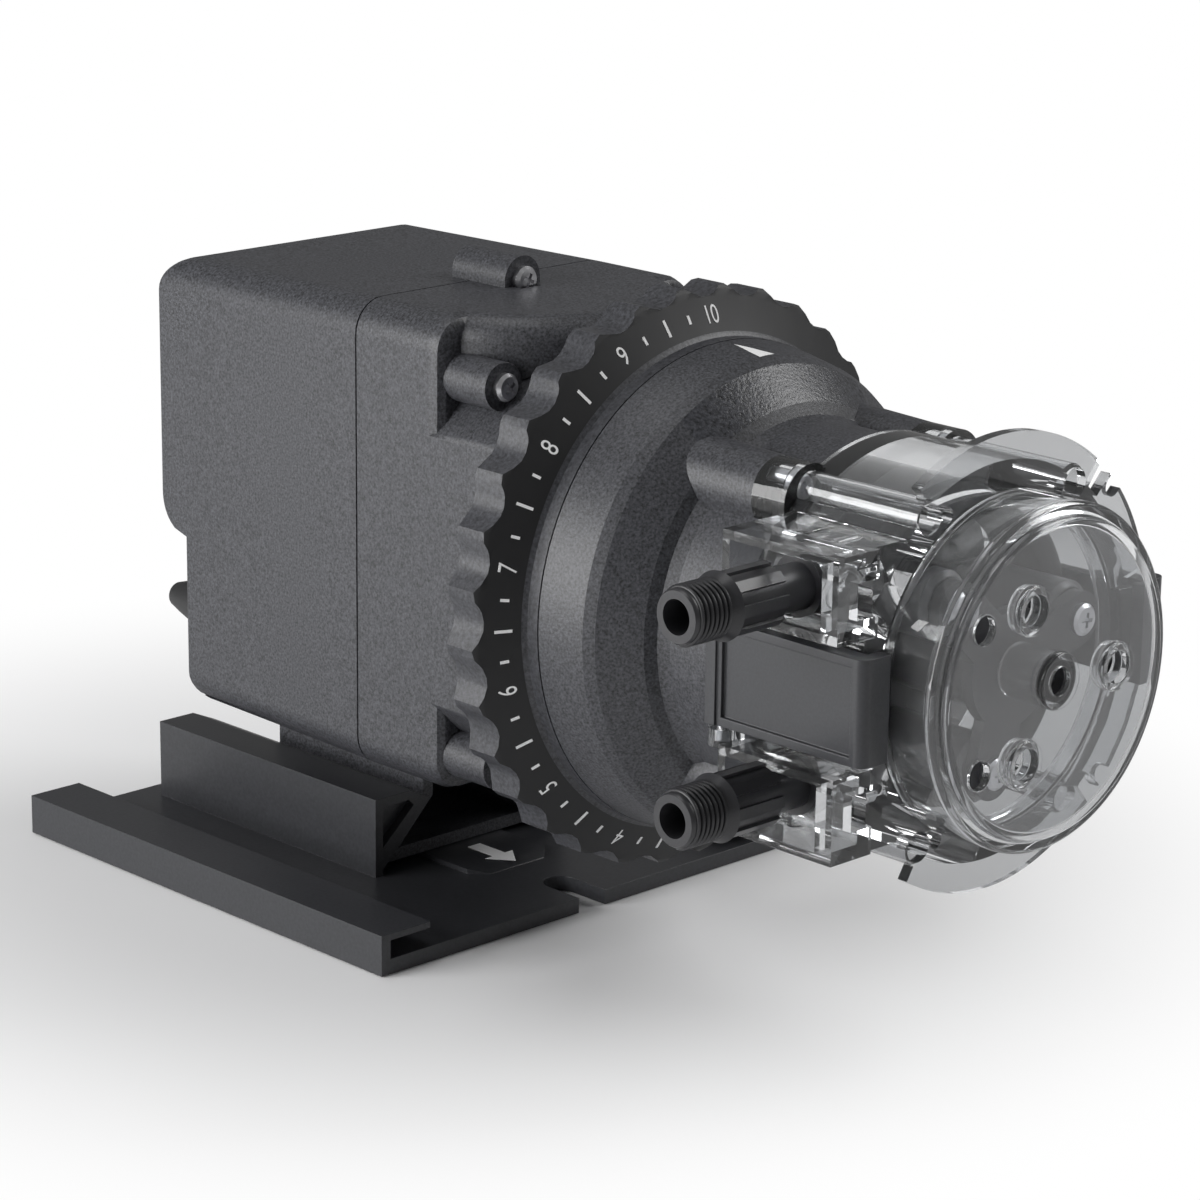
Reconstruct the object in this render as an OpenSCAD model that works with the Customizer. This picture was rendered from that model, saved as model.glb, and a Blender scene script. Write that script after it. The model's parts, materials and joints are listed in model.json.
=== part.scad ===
// Peristaltic metering pump with a feed-rate dial, on its slide-on mounting bracket.
// World frame: X to the right seen from the front, the pump head faces -Y, Z up.
// Origin: middle of the bracket's underside.
// Pump pieces are drawn as seen from the front, on the pump axis:
// x to the right, y up, and f forward from the seam between the two cases.

/* [Bracket] */
// Width of the base plate
plate_w = 131; // [120:1:150]
// Length of the base plate from front to back
plate_len = 132; // [128:1:150]
// Thickness of the plate's floor
floor_t = 3.7; // [3:0.1:5]
// Height of the side rims
rim_h = 9.7; // [9.5:0.1:12]
// Thickness of the rim's upright wall
rim_t = 2.7; // [2:0.1:4]
// Thickness of the rim's inward lip
lip_t = 1.6; // [1.2:0.1:1.7]
// Reach of the lip from the plate's outer edge
lip_reach = 14.6; // [8:0.2:18]
// Width of the open slot in the front edge
slot_w = 8.4; // [6:0.2:12]
// Length of the open slot
slot_len = 15; // [10:0.5:20]
// Outer width over the two slide rails
rails_w = 61.4; // [56:0.2:66]
// Gap between the tips of the rails
rail_gap = 26.4; // [22:0.2:30]
// Height of the rails above the surface
rail_h = 23.2; // [20:0.2:26]
// Length of the rails
rail_len = 82.6; // [75:0.2:84]
// Distance of the rails behind the plate's front edge
rail_setback = 42.3; // [38:0.1:44]
// Wall of the rails
rail_wall = 2.4; // [1.8:0.1:3]
// Depth of the recess in the rails' ends
rail_recess = 2.5; // [1:0.5:6]
// Width of the flat on top of a rail
rail_top_w = 10.5; // [8:0.1:12]
// Drop from a rail's top to its tip
tip_drop = 3.1; // [2:0.1:4]
// Width of the raised strip between the rails
strip_w = 25.4; // [20:0.2:26]
// Cut of the strip's front corners
strip_cut = 4; // [2:0.5:6]
// Height of the strip above the floor
strip_h = 1.2; // [0.8:0.1:1.6]
// Distance of the strip behind the plate's front edge
strip_setback = 25.9; // [20:0.1:34]
// Diameter of the rear screw hole
fix_hole_d = 5.2; // [4:0.1:6]
// Distance of the rear screw hole from the plate's back edge
fix_hole_inset = 16; // [12:0.5:20]
// Clearance of the pump's foot in the rails
slide_gap = 0.3; // [0.2:0.05:0.4]

/* [Pump place] */
// Height of the pump axis above the surface
axis_h = 87.6; // [86:0.2:92]
// Distance of the case seam behind the plate's front edge
seam_setback = 34.5; // [33:0.5:36]

/* [Cases] */
// Width of the two cases
case_w = 81; // [80:0.5:86]
// Height of the cases above the axis
case_top = 58; // [57:0.2:60]
// Depth of the cases below the axis
case_low = 53; // [52.4:0.2:54]
// Radius of the cases' long edges
case_edge = 8; // [6:0.5:10]
// Wall of the cases
shell_t = 2.8; // [2:0.1:3.2]
// Depth of the motor housing's upper block behind the seam
upper_depth = 76.5; // [75:0.5:84]
// Depth of the motor housing's lower block behind the seam
lower_depth = 67.5; // [66:0.5:72]
// Height of the underside of the upper block, from the axis
shelf_y = -7; // [-9:0.5:-4]
// Rise of that underside from the lower block to the back
shelf_slope = 4; // [2:0.5:6]
// Narrowing of the motor housing towards its back, each side
case_draft = 0.8; // [0:0.1:1.2]
// Length of the dovetail foot
foot_len = 54; // [40:1:55]
// Distance of the foot behind the seam
foot_setback = 11; // [10.5:0.1:12]
// Wall of the foot
foot_t = 3; // [2:0.2:4]
// Length of the gear case's square part
square_len = 25; // [24:0.5:26]
// Length of the gear case with its round neck
gear_case_len = 34.6; // [34:0.1:36]
// Radius of the round neck
neck_r = 51; // [50.5:0.1:51.4]
// Radius of the rounded nose of the top, seen from above
nose_r = 36; // [34:0.5:38]
// Distance of the fine groove behind the seam
seam_groove_f = 2.4; // [2:0.1:3]
// Distance of the nose's centre in front of the seam
nose_f = 12; // [10:0.5:12.5]
// Radius of the nose's top edge
nose_edge = 6; // [3:0.5:6.5]
// Distance of the corner bosses beside the axis
boss_x = 33; // [32.6:0.1:33.4]
// Distance of the corner bosses above and below the axis
boss_y = 44; // [43.6:0.1:44.6]
// Radius of the corner bosses
boss_r = 5.5; // [5:0.1:5.8]
// Radius of the posts inside the gear case
post_r = 4; // [3.6:0.1:4.2]
// Length of the corner bosses of the dial base
base_boss_len = 3.9; // [3:0.1:5]
// Half length of the screw bosses on the seam
seam_boss_len = 9; // [7:0.5:10]
// Radius of the screw bosses on the seam
seam_boss_r = 5.5; // [5:0.1:6]
// Rise of the seam bosses' screws above the case wall
seam_boss_rise = 1.4; // [1:0.1:2]

/* [Screws and cord gland] */
// Radius of the case screws' shanks
screw_r = 1.9; // [1.5:0.1:2.1]
// Radius of the case screws' heads
screw_head_r = 3.2; // [2.8:0.1:3.6]
// Height of the case screws' heads
screw_head_h = 2.3; // [1.8:0.1:2.6]
// Outer radius of the cord gland
gland_r = 8.5; // [7:0.5:9]
// Radius of the cord hole
gland_hole_r = 3.5; // [2.5:0.1:4.5]
// Length of the gland behind the housing
gland_len = 14; // [8:0.5:16]
// Distance of the gland beside the axis
gland_x = 24; // [20:0.5:25]
// Depth of the gland below the axis
gland_drop = 32.5; // [26:0.5:34]

/* [Motor] */
// Height of the motor's shaft above the pump axis is worked out from the gears
// Thickness of the stator stack
stack_t = 28; // [24:1:30]
// Distance of the stator's front behind the seam
stack_setback = 20; // [19:0.5:21]
// Half width of the stator
stator_x = 26; // [25:0.5:28]
// Height of the stator above the rotor's centre
stator_rise = 20.5; // [19:0.5:24]
// Depth of the stator below the rotor's centre
stator_drop = 48.5; // [47:0.5:50]
// Width of the stator's limbs
limb_w = 9; // [8:0.5:9.5]
// Radius of the rotor
rotor_r = 15; // [14:0.2:16]
// Air gap between rotor and stator
air_gap = 0.5; // [0.3:0.05:0.8]
// Thickness of the winding round the lower limb
winding_t = 5.5; // [4:0.5:6]
// Radius of the motor shaft
motor_shaft_r = 2.5; // [2:0.1:2.8]
// Outer radius of the fan
fan_r = 26; // [20:0.5:28]

/* [Gears] */
// Teeth of the motor pinion
pinion_teeth = 12; // [12:1:12]
// Teeth of the first gear
first_teeth = 48; // [48:1:48]
// Teeth of the first gear's pinion
first_pinion_teeth = 12; // [12:1:12]
// Teeth of the second gear
second_teeth = 36; // [36:1:36]
// Teeth of the second gear's pinion
second_pinion_teeth = 14; // [14:1:14]
// Teeth of the output gear
output_teeth = 42; // [42:1:42]
// Tooth module of the motor pinion and the first gear
module_1 = 0.8; // [0.78:0.01:0.82]
// Tooth module of the first pinion and the second gear
module_2 = 1.0; // [0.98:0.01:1.02]
// Tooth module of the second pinion and the output gear
module_3 = 1.25; // [1.24:0.01:1.26]
// Pressure angle of the teeth
pressure = 25; // [24:0.5:26]
// Play between the flanks of a pair
backlash = 0.14; // [0.1:0.01:0.2]
// Radius of the gear pins
gear_pin_r = 2; // [1.6:0.1:2.2]
// Running clearance of shafts in their bores
run_gap = 0.05; // [0.03:0.01:0.09]

/* [Shaft] */
// Radius of the main shaft
shaft_r = 5; // [4.6:0.1:5.2]
// Radius of the shaft's front journal
journal_r = 3; // [2.5:0.1:3.4]
// Radius of the output gear's drive hub
hub_r = 9; // [8.4:0.1:9.4]
// Radius of the clutch plate
clutch_r = 28; // [24:0.5:32]

/* [Dial] */
// Radius over the dial's crests
dial_r = 66.5; // [66:0.5:70]
// Depth of the scallops
scallop = 2.4; // [1.4:0.1:2.8]
// Number of scallops
scallops = 32; // [28:1:36]
// Turn of the scallops from the horizontal
scallop_turn = 4.3; // [0:0.1:11]
// Distance of the dial's back in front of the seam
dial_f = 57; // [56.8:0.1:58]
// Width of the scalloped band
knurl_w = 9.5; // [8:0.1:10]
// Radius of the journal on which the dial turns
journal_ring_r = 50; // [49:0.1:50.4]
// Slope of the cam face inside the dial
cam_slope = 6; // [0:0.5:6.5]
// Radius of the dial's front collar
collar_r = 55.6; // [55:0.1:56]
// Distance of the dial's collar end in front of the seam
collar_f = 74; // [73.8:0.1:74.4]

/* [Pump head] */
// Distance of the clear head's back in front of the seam
head_f = 120; // [119.6:0.1:120.4]
// Length of the clear head
head_len = 35; // [34.8:0.1:36]
// Outer radius of the clear head
drum_r = 43.3; // [43:0.1:43.6]
// Radius of the track that the tube lies in
track_r = 36; // [35.9:0.05:36.2]
// Radius of the head's neck
head_neck_r = 41.5; // [41:0.1:41.8]
// Distance of the head screws beside the axis
head_screw_x = 23; // [22.8:0.1:23.2]
// Distance of the head screws above and below the axis
head_screw_y = 35; // [34.8:0.1:35.4]
// Outer radius of the head screw bosses
head_boss_r = 8; // [7.4:0.1:8.2]
// Distance of those bosses' centres nearer to the axis than the screws
head_boss_in = 2.4; // [2:0.1:2.8]
// Outer radius of the clear tubes round the head screws
screw_tube_r = 4.1; // [4:0.1:4.6]
// Outer radius of the flange arcs
flange_r = 49.4; // [48:0.2:50]
// Thickness of the flange arcs
flange_t = 2.6; // [2:0.1:3]
// Outer radius of the cover
cup_r = 37.4; // [37.2:0.1:37.8]
// Height of the cover in front of the head
cup_h = 16.4; // [16:0.1:17]
// Wall of the cover
cover_t = 2; // [1.6:0.1:2.2]
// Radius of the cover's raised face
face_r = 34.6; // [33:0.1:35]
// Height of that raised face above the cover's rim
face_h = 1.6; // [0.8:0.1:1.9]
// Distance of the bossed holes from the axis
cover_hole_r = 18.8; // [18:0.1:20]
// Radius of the bossed holes
bossed_hole_r = 3.6; // [3:0.1:3.8]
// Distance of the plain holes from the axis
plain_hole_out = 28.2; // [26:0.1:29]
// Radius of the plain holes
plain_hole_r = 3.1; // [2.5:0.1:3.3]
// Height of the lugs that the latches hold
lug_grip = 2.2; // [1.8:0.1:2.4]

/* [Tube and fittings] */
// Distance of the fittings above and below the axis
fitting_y = 21.2; // [20.8:0.05:21.4]
// Distance of the fittings in front of the head's back
fitting_out = 17.2; // [16.8:0.1:17.6]
// Distance of the fitting tips beside the axis
fitting_x = 77.5; // [76:0.5:80]
// Radius of the fitting thread
thread_r = 6.4; // [6:0.1:6.6]
// Length of the fitting thread
thread_len = 10; // [9:0.5:12]
// Distance of the fitting's fluted grip from the axis
grip_x = 52; // [51.6:0.1:54]
// Radius of the fitting's neck behind the grip
fitting_neck_r = 5; // [4.6:0.1:5.1]
// Radius of the fitting bore
fitting_bore_r = 3.7; // [3:0.1:4.2]
// Outer radius of the pump tube
tube_r = 4.75; // [4.6:0.05:4.8]
// Thickness of the tube where the rollers press it
pressed_t = 5.4; // [5:0.1:5.6]
// Distance of the channels' open side from the axis
block_x = 51.5; // [50.5:0.1:52]
// Thickness of the channels' front wall
block_front = 4.5; // [4:0.1:5]
// Width of the tube where the rollers press it
pressed_w = 14.4; // [13:0.1:14.6]
// Radius of the tube's bend beside the track
bend_r = 8; // [8:0.1:9]

/* [Rollers] */
// Radius of the rollers
roller_r = 7.5; // [7:0.1:7.6]
// Length of the rollers
roller_len = 27; // [26:0.5:27]
// Radius of the roller pins
roller_pin_r = 2.5; // [2:0.1:2.8]
// Clearance between rollers and tube
tube_gap = 0.35; // [0.3:0.05:0.5]
// Angle of the first roller
roller_turn = 17; // [0:1:119]

/* [Latches] */
// Half height of a latch
latch_y = 11.4; // [10:0.2:11.6]
// Thickness of a latch
latch_t = 4.6; // [4.2:0.1:4.8]
// Radius of the latch pins
latch_pin_r = 1.5; // [1.2:0.1:1.6]
// Distance of the hook's end from the axis
hook_in = 40.2; // [39.8:0.1:40.6]
// Thickness of the latch's hook
hook_t = 3.4; // [3:0.1:3.8]
// Depth of the latch's panel recess
panel_d = 0.9; // [0.5:0.1:1.2]

/* [Hidden] */
$fn = 64;
hull_fn = 32;
eps = 0.02;

// Places on the bracket
front_y = -plate_len / 2;
seam_y = front_y + seam_setback;
rail_y = front_y + rail_setback;
tip_z = rail_h - tip_drop;
rail_foot_z = floor_t + 1.5;
rail_slope = (rails_w / 2 - rail_wall - rail_gap / 2) / (tip_z - rail_foot_z);
foot_z = floor_t + strip_h + slide_gap;
hole_y = plate_len / 2 - fix_hole_inset;

// Places of the gears, seen from the front
function polar(r, a) = [r * cos(a), r * sin(a)];
dist_1 = module_1 * (pinion_teeth + first_teeth) / 2;
dist_2 = module_2 * (first_pinion_teeth + second_teeth) / 2;
dist_3 = module_3 * (second_pinion_teeth + output_teeth) / 2;
angle_3 = 110;
angle_2 = -15;
angle_1 = -118;
second_c = polar(dist_3, angle_3);
first_c = second_c + polar(dist_2, angle_2);
motor_c = first_c + polar(dist_1, angle_1);

// Layers of the gear train, in front of the seam
plate_f = -4;
plate_t = 2;
pinion_f = [2, 10];
first_f = [3, 9];
first_pinion_f = [9, 19];
second_f = [11, 17];
second_pinion_f = [17, 28];
output_f = [20, 27];
clip_t = 0.6;

// Places along the main shaft
bushing_t = 3;
hub_end = gear_case_len + 1.4;
lug_h = 3;
clutch_f = hub_end + lug_h + 0.6;
base_end = dial_f - 0.3;
base_wall = 2.7;
web_t = 2;
housing_f = dial_f + web_t + 0.3;
housing_end = head_f - 0.3;
neck_wall = 3.2;
boss_end = head_f - 7.4;
head_screw_f = boss_end + 6;
head_end = head_f + head_len;
cover_end = head_end + cup_h;

// Places in the head
tube_in = track_r - 0.3 - pressed_t;
roller_orbit = tube_in - tube_gap - roller_r;
roller_f = head_f + 3 + 5;
roller_end = roller_f + roller_len;
roller_plate_t = 3;
roller_play = 0.3;
tube_mid = track_r - 0.3 - pressed_t / 2;
bend_x = sqrt(pow(tube_mid + bend_r, 2) - pow(fitting_y + bend_r, 2));
bend_turn = 90 - asin((fitting_y + bend_r) / (tube_mid + bend_r));
fitting_f = head_f + fitting_out;
block_w = [fitting_y - 7.3, fitting_y + 11];
block_f = [head_f + 4.4, head_end + 1.5];
block_t = 2;
seat_x = 41.2;
seat_wall = 34;
block_rim = [5.8, 6, 4.5];
flange_arcs = [[15.8, 45.5], [50.8, 122]];
notch_turn = 42.2;
notch_r = 2.3;
thread_end = fitting_x - thread_len;
latch_in = drum_r + 0.3;
latch_c = latch_in + latch_t / 2;
latch_f = head_f + 0.4;
hook_f = head_end + lug_grip + 0.3;
screw_angle = atan2(head_screw_y, head_screw_x);

// Frames and small shapes
module on_axis() {
    translate([0, seam_y, axis_h]) rotate([90, 0, 0]) children();
}

module rod(r, f) {
    translate([0, 0, f[0]]) cylinder(r = r, h = f[1] - f[0]);
}

module ring(outer, inner, f) {
    difference() {
        rod(outer, f);
        rod(inner, [f[0] - 1, f[1] + 1]);
    }
}

module slab(x, y, f) {
    translate([x[0], y[0], f[0]]) cube([x[1] - x[0], y[1] - y[0], f[1] - f[0]]);
}

module four(x, y) {
    for (sx = [-1, 1], sy = [-1, 1]) translate([sx * x, sy * y, 0]) children();
}

// Children point along -X instead of forward, at distance x to the left
module leftwards(x, y, f) {
    translate([-x, y, f]) rotate([0, -90, 0]) children();
}

// Bracket, drawn in the world frame
module rail() {
    outer = [[rails_w / 2, floor_t - eps], [rails_w / 2, rail_h], [rails_w / 2 - rail_top_w, rail_h],
        [rail_gap / 2, tip_z], [rails_w / 2 - rail_wall, rail_foot_z], [rails_w / 2 - rail_wall, floor_t - eps]];
    inset = rail_wall * 1.2;
    inner = [[rails_w / 2 - rail_wall, rail_h - rail_wall], [rails_w / 2 - rail_top_w, rail_h - rail_wall],
        [rail_gap / 2 + inset * 1.9, tip_z - inset * 0.25],
        [rails_w / 2 - rail_wall, rail_foot_z + inset * 1.9]];
    translate([0, rail_y + rail_len, 0]) rotate([90, 0, 0]) difference() {
        linear_extrude(rail_len) polygon(outer);
        translate([0, 0, -1]) linear_extrude(rail_recess + 1) polygon(inner);
        translate([0, 0, rail_len - rail_recess]) linear_extrude(rail_recess + 1) polygon(inner);
    }
}

// Raised strip with cut corners and a sloping front end
module strip() {
    ends = [front_y + strip_setback, rail_y + rail_len];
    half = strip_w / 2;
    top = floor_t + strip_h;
    intersection() {
        linear_extrude(top) polygon([[strip_cut - half, ends[0]], [half - strip_cut, ends[0]],
            [half, ends[0] + strip_cut], [half, ends[1]], [-half, ends[1]], [-half, ends[0] + strip_cut]]);
        translate([-half, 0, 0]) rotate([90, 0, 90]) linear_extrude(strip_w)
            polygon([[ends[0], 0], [ends[1], 0], [ends[1], top], [ends[0] + strip_cut, top],
                [ends[0], floor_t + 0.2]]);
    }
}

module mounting_bracket() {
    color("#2b2d31") difference() {
        union() {
            translate([-plate_w / 2, front_y, 0]) cube([plate_w, plate_len, floor_t]);
            for (s = [0, 1]) mirror([s, 0, 0]) {
                translate([plate_w / 2 - rim_t, front_y, 0]) cube([rim_t, plate_len, rim_h]);
                translate([plate_w / 2 - lip_reach, front_y, rim_h - lip_t]) cube([lip_reach, plate_len, lip_t]);
                rail();
            }
            strip();
        }
        translate([-slot_w / 2, front_y - 1, -1]) cube([slot_w, slot_len - slot_w / 2 + 1, floor_t + 2]);
        translate([0, front_y + slot_len - slot_w / 2, -1]) cylinder(d = slot_w, h = floor_t + 2);
        translate([0, hole_y, -1]) cylinder(d = fix_hole_d, h = floor_t + strip_h + 2);
    }
}

// Cases
module lower_block() {
    edge = case_edge;
    x = case_w / 2 - edge;
    hull() for (s = [-1, 1], y = [edge - case_low, 2 * edge]) {
        drawn = y > 0 ? -case_draft : case_draft;
        translate([s * x, y, -1]) cylinder(r = edge, h = 1, $fn = hull_fn);
        translate([s * (x - case_draft), y + drawn, edge - lower_depth]) sphere(r = edge, $fn = hull_fn);
    }
}

// The upper block's lower edge slopes down to the back of the lower block
module upper_block() {
    edge = case_edge;
    x = case_w / 2 - edge;
    hull() for (s = [-1, 1]) {
        for (y = [case_top - edge, shelf_y + edge])
            translate([s * x, y, -1]) cylinder(r = edge, h = 1, $fn = hull_fn);
        translate([s * (x - case_draft), case_top - edge - case_draft, edge - upper_depth])
            sphere(r = edge, $fn = hull_fn);
        for (k = [[shelf_y + shelf_slope, upper_depth], [shelf_y, lower_depth]])
            translate([s * (x - case_draft), k[0], edge - k[1]]) rotate([-90, 0, 0])
                cylinder(r = edge, h = 1, $fn = hull_fn);
    }
}

// Fine groove round the case beside the seam
module seam_groove() {
    edge = case_edge;
    translate([0, 0, -seam_groove_f - 0.5]) linear_extrude(0.5) difference() {
        translate([-case_w, -case_low - 1]) square([2 * case_w, case_low + case_top + 2]);
        hull() for (s = [-1, 1], y = [edge - case_low, case_top - edge])
            translate([s * (case_w / 2 - edge), y]) circle(r = edge - 0.6, $fn = hull_fn);
    }
}

module seam_boss(f) {
    for (s = [0, 1]) mirror([0, s, 0]) {
        wall_y = s == 0 ? case_top : case_low;
        translate([0, wall_y + seam_boss_rise, 0]) rod(seam_boss_r, f);
        slab([-seam_boss_r, seam_boss_r], [wall_y - shell_t, wall_y + seam_boss_rise], f);
    }
}

module seam_bores(r, f) {
    translate([0, case_top + seam_boss_rise, 0]) rod(r, f);
    translate([0, -case_low - seam_boss_rise, 0]) rod(r, f);
}

// Outline of the dovetail foot and of the hollow inside it
function foot_half(y) = rail_gap / 2 - 1.45 * slide_gap + (tip_z - axis_h - y) * rail_slope;

module foot() {
    top = -case_low + eps;
    tip = tip_z - axis_h;
    low = foot_z - axis_h;
    half = foot_half(tip);
    translate([0, 0, -foot_setback - foot_len]) linear_extrude(foot_len) difference() {
        polygon([[half, top], [half, tip], [foot_half(low), low], [-foot_half(low), low],
            [-half, tip], [-half, top]]);
        polygon([[half - foot_t, top - shell_t], [half - foot_t, tip - 1],
            [foot_half(low) - foot_t * 2.4, low + foot_t], [-foot_half(low) + foot_t * 2.4, low + foot_t],
            [foot_t - half, tip - 1], [foot_t - half, top - shell_t]]);
    }
}

module motor_housing() {
    inner = case_w / 2 - shell_t;
    color("#303236") on_axis() difference() {
        union() {
            difference() {
                union() {
                    lower_block();
                    upper_block();
                }
                seam_groove();
            }
            seam_boss([-seam_boss_len, -eps]);
            foot();
        }
        slab([-inner, inner], [shell_t - case_low, 0], [shell_t + case_draft - lower_depth, 1]);
        slab([-inner + case_draft, inner - case_draft], [shelf_y + shelf_slope + shell_t, case_top - shell_t - case_draft],
            [shell_t + 1 - upper_depth, 1]);
        seam_bores(screw_r, [-seam_boss_len - 1, 1]);
        translate([-gland_x, -gland_drop, 0]) rod(gland_r - 2.4, [-lower_depth - 5, 0]);
    }
}

module cord_gland() {
    color("#1d1e20") on_axis() translate([-gland_x, -gland_drop, 0]) rotate([180, 0, 0]) difference() {
        rotate_extrude() {
            neck = gland_r - 2.4;
            polygon([[0, lower_depth - shell_t - 2], [neck + 1.5, lower_depth - shell_t - 2],
                [neck + 1.5, lower_depth - shell_t - 0.8 - case_draft],
                [neck - 0.1, lower_depth - shell_t - 0.8 - case_draft], [neck - 0.1, lower_depth],
                [gland_r, lower_depth + 0.3], [gland_r, lower_depth + 3],
                [gland_r - 2, lower_depth + gland_len - 2], [gland_r - 3, lower_depth + gland_len],
                [0, lower_depth + gland_len]]);
        }
        rod(gland_hole_r, [lower_depth, lower_depth + gland_len + 1]);
    }
}

module square_case() {
    edge = case_edge;
    steps = [[0, 0], [square_len - 3.5, 0], [square_len - 1, 0.8], [square_len, 2.5]];
    hull() for (s = [-1, 1], y = [-case_low + edge, case_top - edge], step = steps)
        translate([s * (case_w / 2 - edge), y, step[0]])
            cylinder(r = edge - step[1], h = 0.1, $fn = hull_fn);
}

module neck(r, half, f) {
    intersection() {
        rod(r, f);
        slab([-half, half], [-r, r], f);
    }
}

module nose() {
    translate([0, 0, nose_f]) rotate([-90, 0, 0]) rotate_extrude() {
        translate([0, neck_r - 12]) square([nose_r, case_top - nose_edge - neck_r + 12]);
        square([nose_r - nose_edge, case_top]);
        translate([nose_r - nose_edge, case_top - nose_edge]) circle(r = nose_edge);
    }
}

module gear_case() {
    inner = case_w / 2 - shell_t;
    wall_f = gear_case_len - bushing_t;
    color("#303236") on_axis() difference() {
        union() {
            square_case();
            neck(neck_r, case_w / 2, [1, gear_case_len]);
            intersection() {
                nose();
                slab([-nose_r, nose_r], [neck_r - 11, case_top], [1, nose_f + nose_r]);
            }
            four(boss_x, boss_y) rod(boss_r, [square_len - 4, gear_case_len]);
            seam_boss([0, seam_boss_len]);
        }
        difference() {
            union() {
                slab([-inner, inner], [shell_t - case_low, case_top - shell_t], [-1, square_len - shell_t]);
                neck(neck_r - shell_t, inner, [0, wall_f]);
            }
            four(boss_x, boss_y) rod(post_r, [plate_f + plate_t, gear_case_len]);
            rod(hub_r + 4, [wall_f - 1.2, wall_f + 1]);
        }
        rod(neck_r + 0.3, [gear_case_len, nose_f + nose_r + 1]);
        rod(hub_r + 3, [wall_f - 2, gear_case_len + 1]);
        translate(second_c) rod(gear_pin_r + 0.02, [wall_f - 1, gear_case_len - 1]);
        four(boss_x, boss_y) rod(screw_r - 0.1, [10, gear_case_len + 1]);
        four(boss_x, boss_y) rod(screw_r - 0.1, [plate_f - 1, 8]);
        seam_bores(screw_r + 0.2, [-1, seam_boss_len + 1]);
        seam_bores(screw_head_r + 0.3, [seam_boss_len, seam_boss_len + screw_head_h + 0.7]);
    }
}

// Screw with a pan head, its head's underside at f = 0 and its shank towards the back
module screw(r, head_r, head_h, len, tip_inside) {
    translate([0, 0, -len]) cylinder(r = r - tip_inside, h = len);
    rotate_extrude() polygon([[0, 0], [head_r, 0], [head_r, head_h * 0.55], [head_r * 0.8, head_h * 0.9],
        [head_r * 0.5, head_h], [0, head_h]]);
}

module case_screws() {
    color("#b9bcc0") on_axis() for (y = [case_top + seam_boss_rise, -case_low - seam_boss_rise])
        translate([0, y, seam_boss_len]) screw(screw_r, screw_head_r, screw_head_h, 2 * seam_boss_len - 2, 0.02);
}

module dial_base() {
    color("#303236") on_axis() difference() {
        union() {
            neck(neck_r, case_w / 2, [gear_case_len, base_end]);
            four(boss_x, boss_y) rod(boss_r, [gear_case_len, gear_case_len + base_boss_len]);
        }
        neck(neck_r - 5, case_w / 2 - shell_t, [gear_case_len - 1, base_end - base_wall]);
        rod(19, [gear_case_len, base_end + 1]);
        four(boss_x, boss_y) rod(screw_r + 0.15, [gear_case_len - 1, gear_case_len + base_boss_len + 1]);
        four(boss_x, boss_y) rod(screw_head_r + 0.6,
            [gear_case_len + base_boss_len, gear_case_len + base_boss_len + 8]);
        for (a = [30, 150, 270]) rotate(a) translate([24.5, 0, 0]) rod(screw_r + 0.1, [base_end - 10, base_end + 1]);
    }
}

module base_screws() {
    color("#b9bcc0") on_axis() four(boss_x, boss_y) translate([0, 0, gear_case_len + base_boss_len])
        screw(screw_r, screw_head_r, screw_head_h, 24, 0.12);
}

// Gear train
function inv(a) = (tan(a) * 180 / PI - a);

function tooth_half(m, teeth, r) =
    let (pitch_r = m * teeth / 2, base_r = pitch_r * cos(pressure))
    90 / teeth - backlash / 4 / pitch_r * 180 / PI + inv(pressure) - inv(acos(base_r / max(r, base_r)));

function tooth(m, teeth) =
    let (pitch_r = m * teeth / 2, base_r = pitch_r * cos(pressure), root = pitch_r - 1.25 * m,
        tip = pitch_r + m, start = max(base_r, root + 0.05),
        radii = [root, for (k = [0:3]) start + (tip - start) * k / 3])
    concat([for (r = radii) polar(r, -tooth_half(m, teeth, r))],
        [for (k = [len(radii) - 1:-1:0]) polar(radii[k], tooth_half(m, teeth, radii[k]))]);

function turned(p, a) = [p[0] * cos(a) - p[1] * sin(a), p[0] * sin(a) + p[1] * cos(a)];

module teeth_of(m, teeth, f, turn) {
    one = tooth(m, teeth);
    translate([0, 0, f[0]]) linear_extrude(f[1] - f[0])
        polygon([for (k = [0:teeth - 1]) for (p = one) turned(p, turn + k * 360 / teeth)]);
}

// Turn that puts a gear in mesh with its driver, which lies at the given direction from it
function meshed(driver_teeth, driver_turn, direction, teeth) =
    direction + 180 + 180 / teeth + (direction - driver_turn) * driver_teeth / teeth;

first_turn = meshed(pinion_teeth, 0, angle_1 + 180, first_teeth);
second_turn = meshed(first_pinion_teeth, 0, angle_2 + 180, second_teeth);
output_turn = meshed(second_pinion_teeth, 0, angle_3 + 180, output_teeth);

module gear_plate() {
    half = case_w / 2 - shell_t - case_draft - 0.4;
    color("#9a9da1") on_axis() difference() {
        slab([-half, half], [-boss_y - 5, boss_y + 5], [plate_f, plate_f + plate_t]);
        translate(motor_c) rod(7, [plate_f - 1, plate_f + plate_t + 1]);
        for (c = [first_c, second_c]) translate(c) rod(gear_pin_r + 0.02, [plate_f - 1, plate_f + plate_t + 1]);
        four(boss_x, boss_y) rod(screw_r + 0.1, [plate_f - 1, plate_f + plate_t + 1]);
        motor_bolt_places() rod(screw_r + 0.1, [plate_f - 1, plate_f + plate_t + 1]);
    }
}

module plate_screws() {
    color("#b9bcc0") on_axis() four(boss_x, boss_y) translate([0, 0, plate_f]) rotate([180, 0, 0])
        screw(screw_r, screw_head_r, screw_head_h, 10, 0.12);
}

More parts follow.
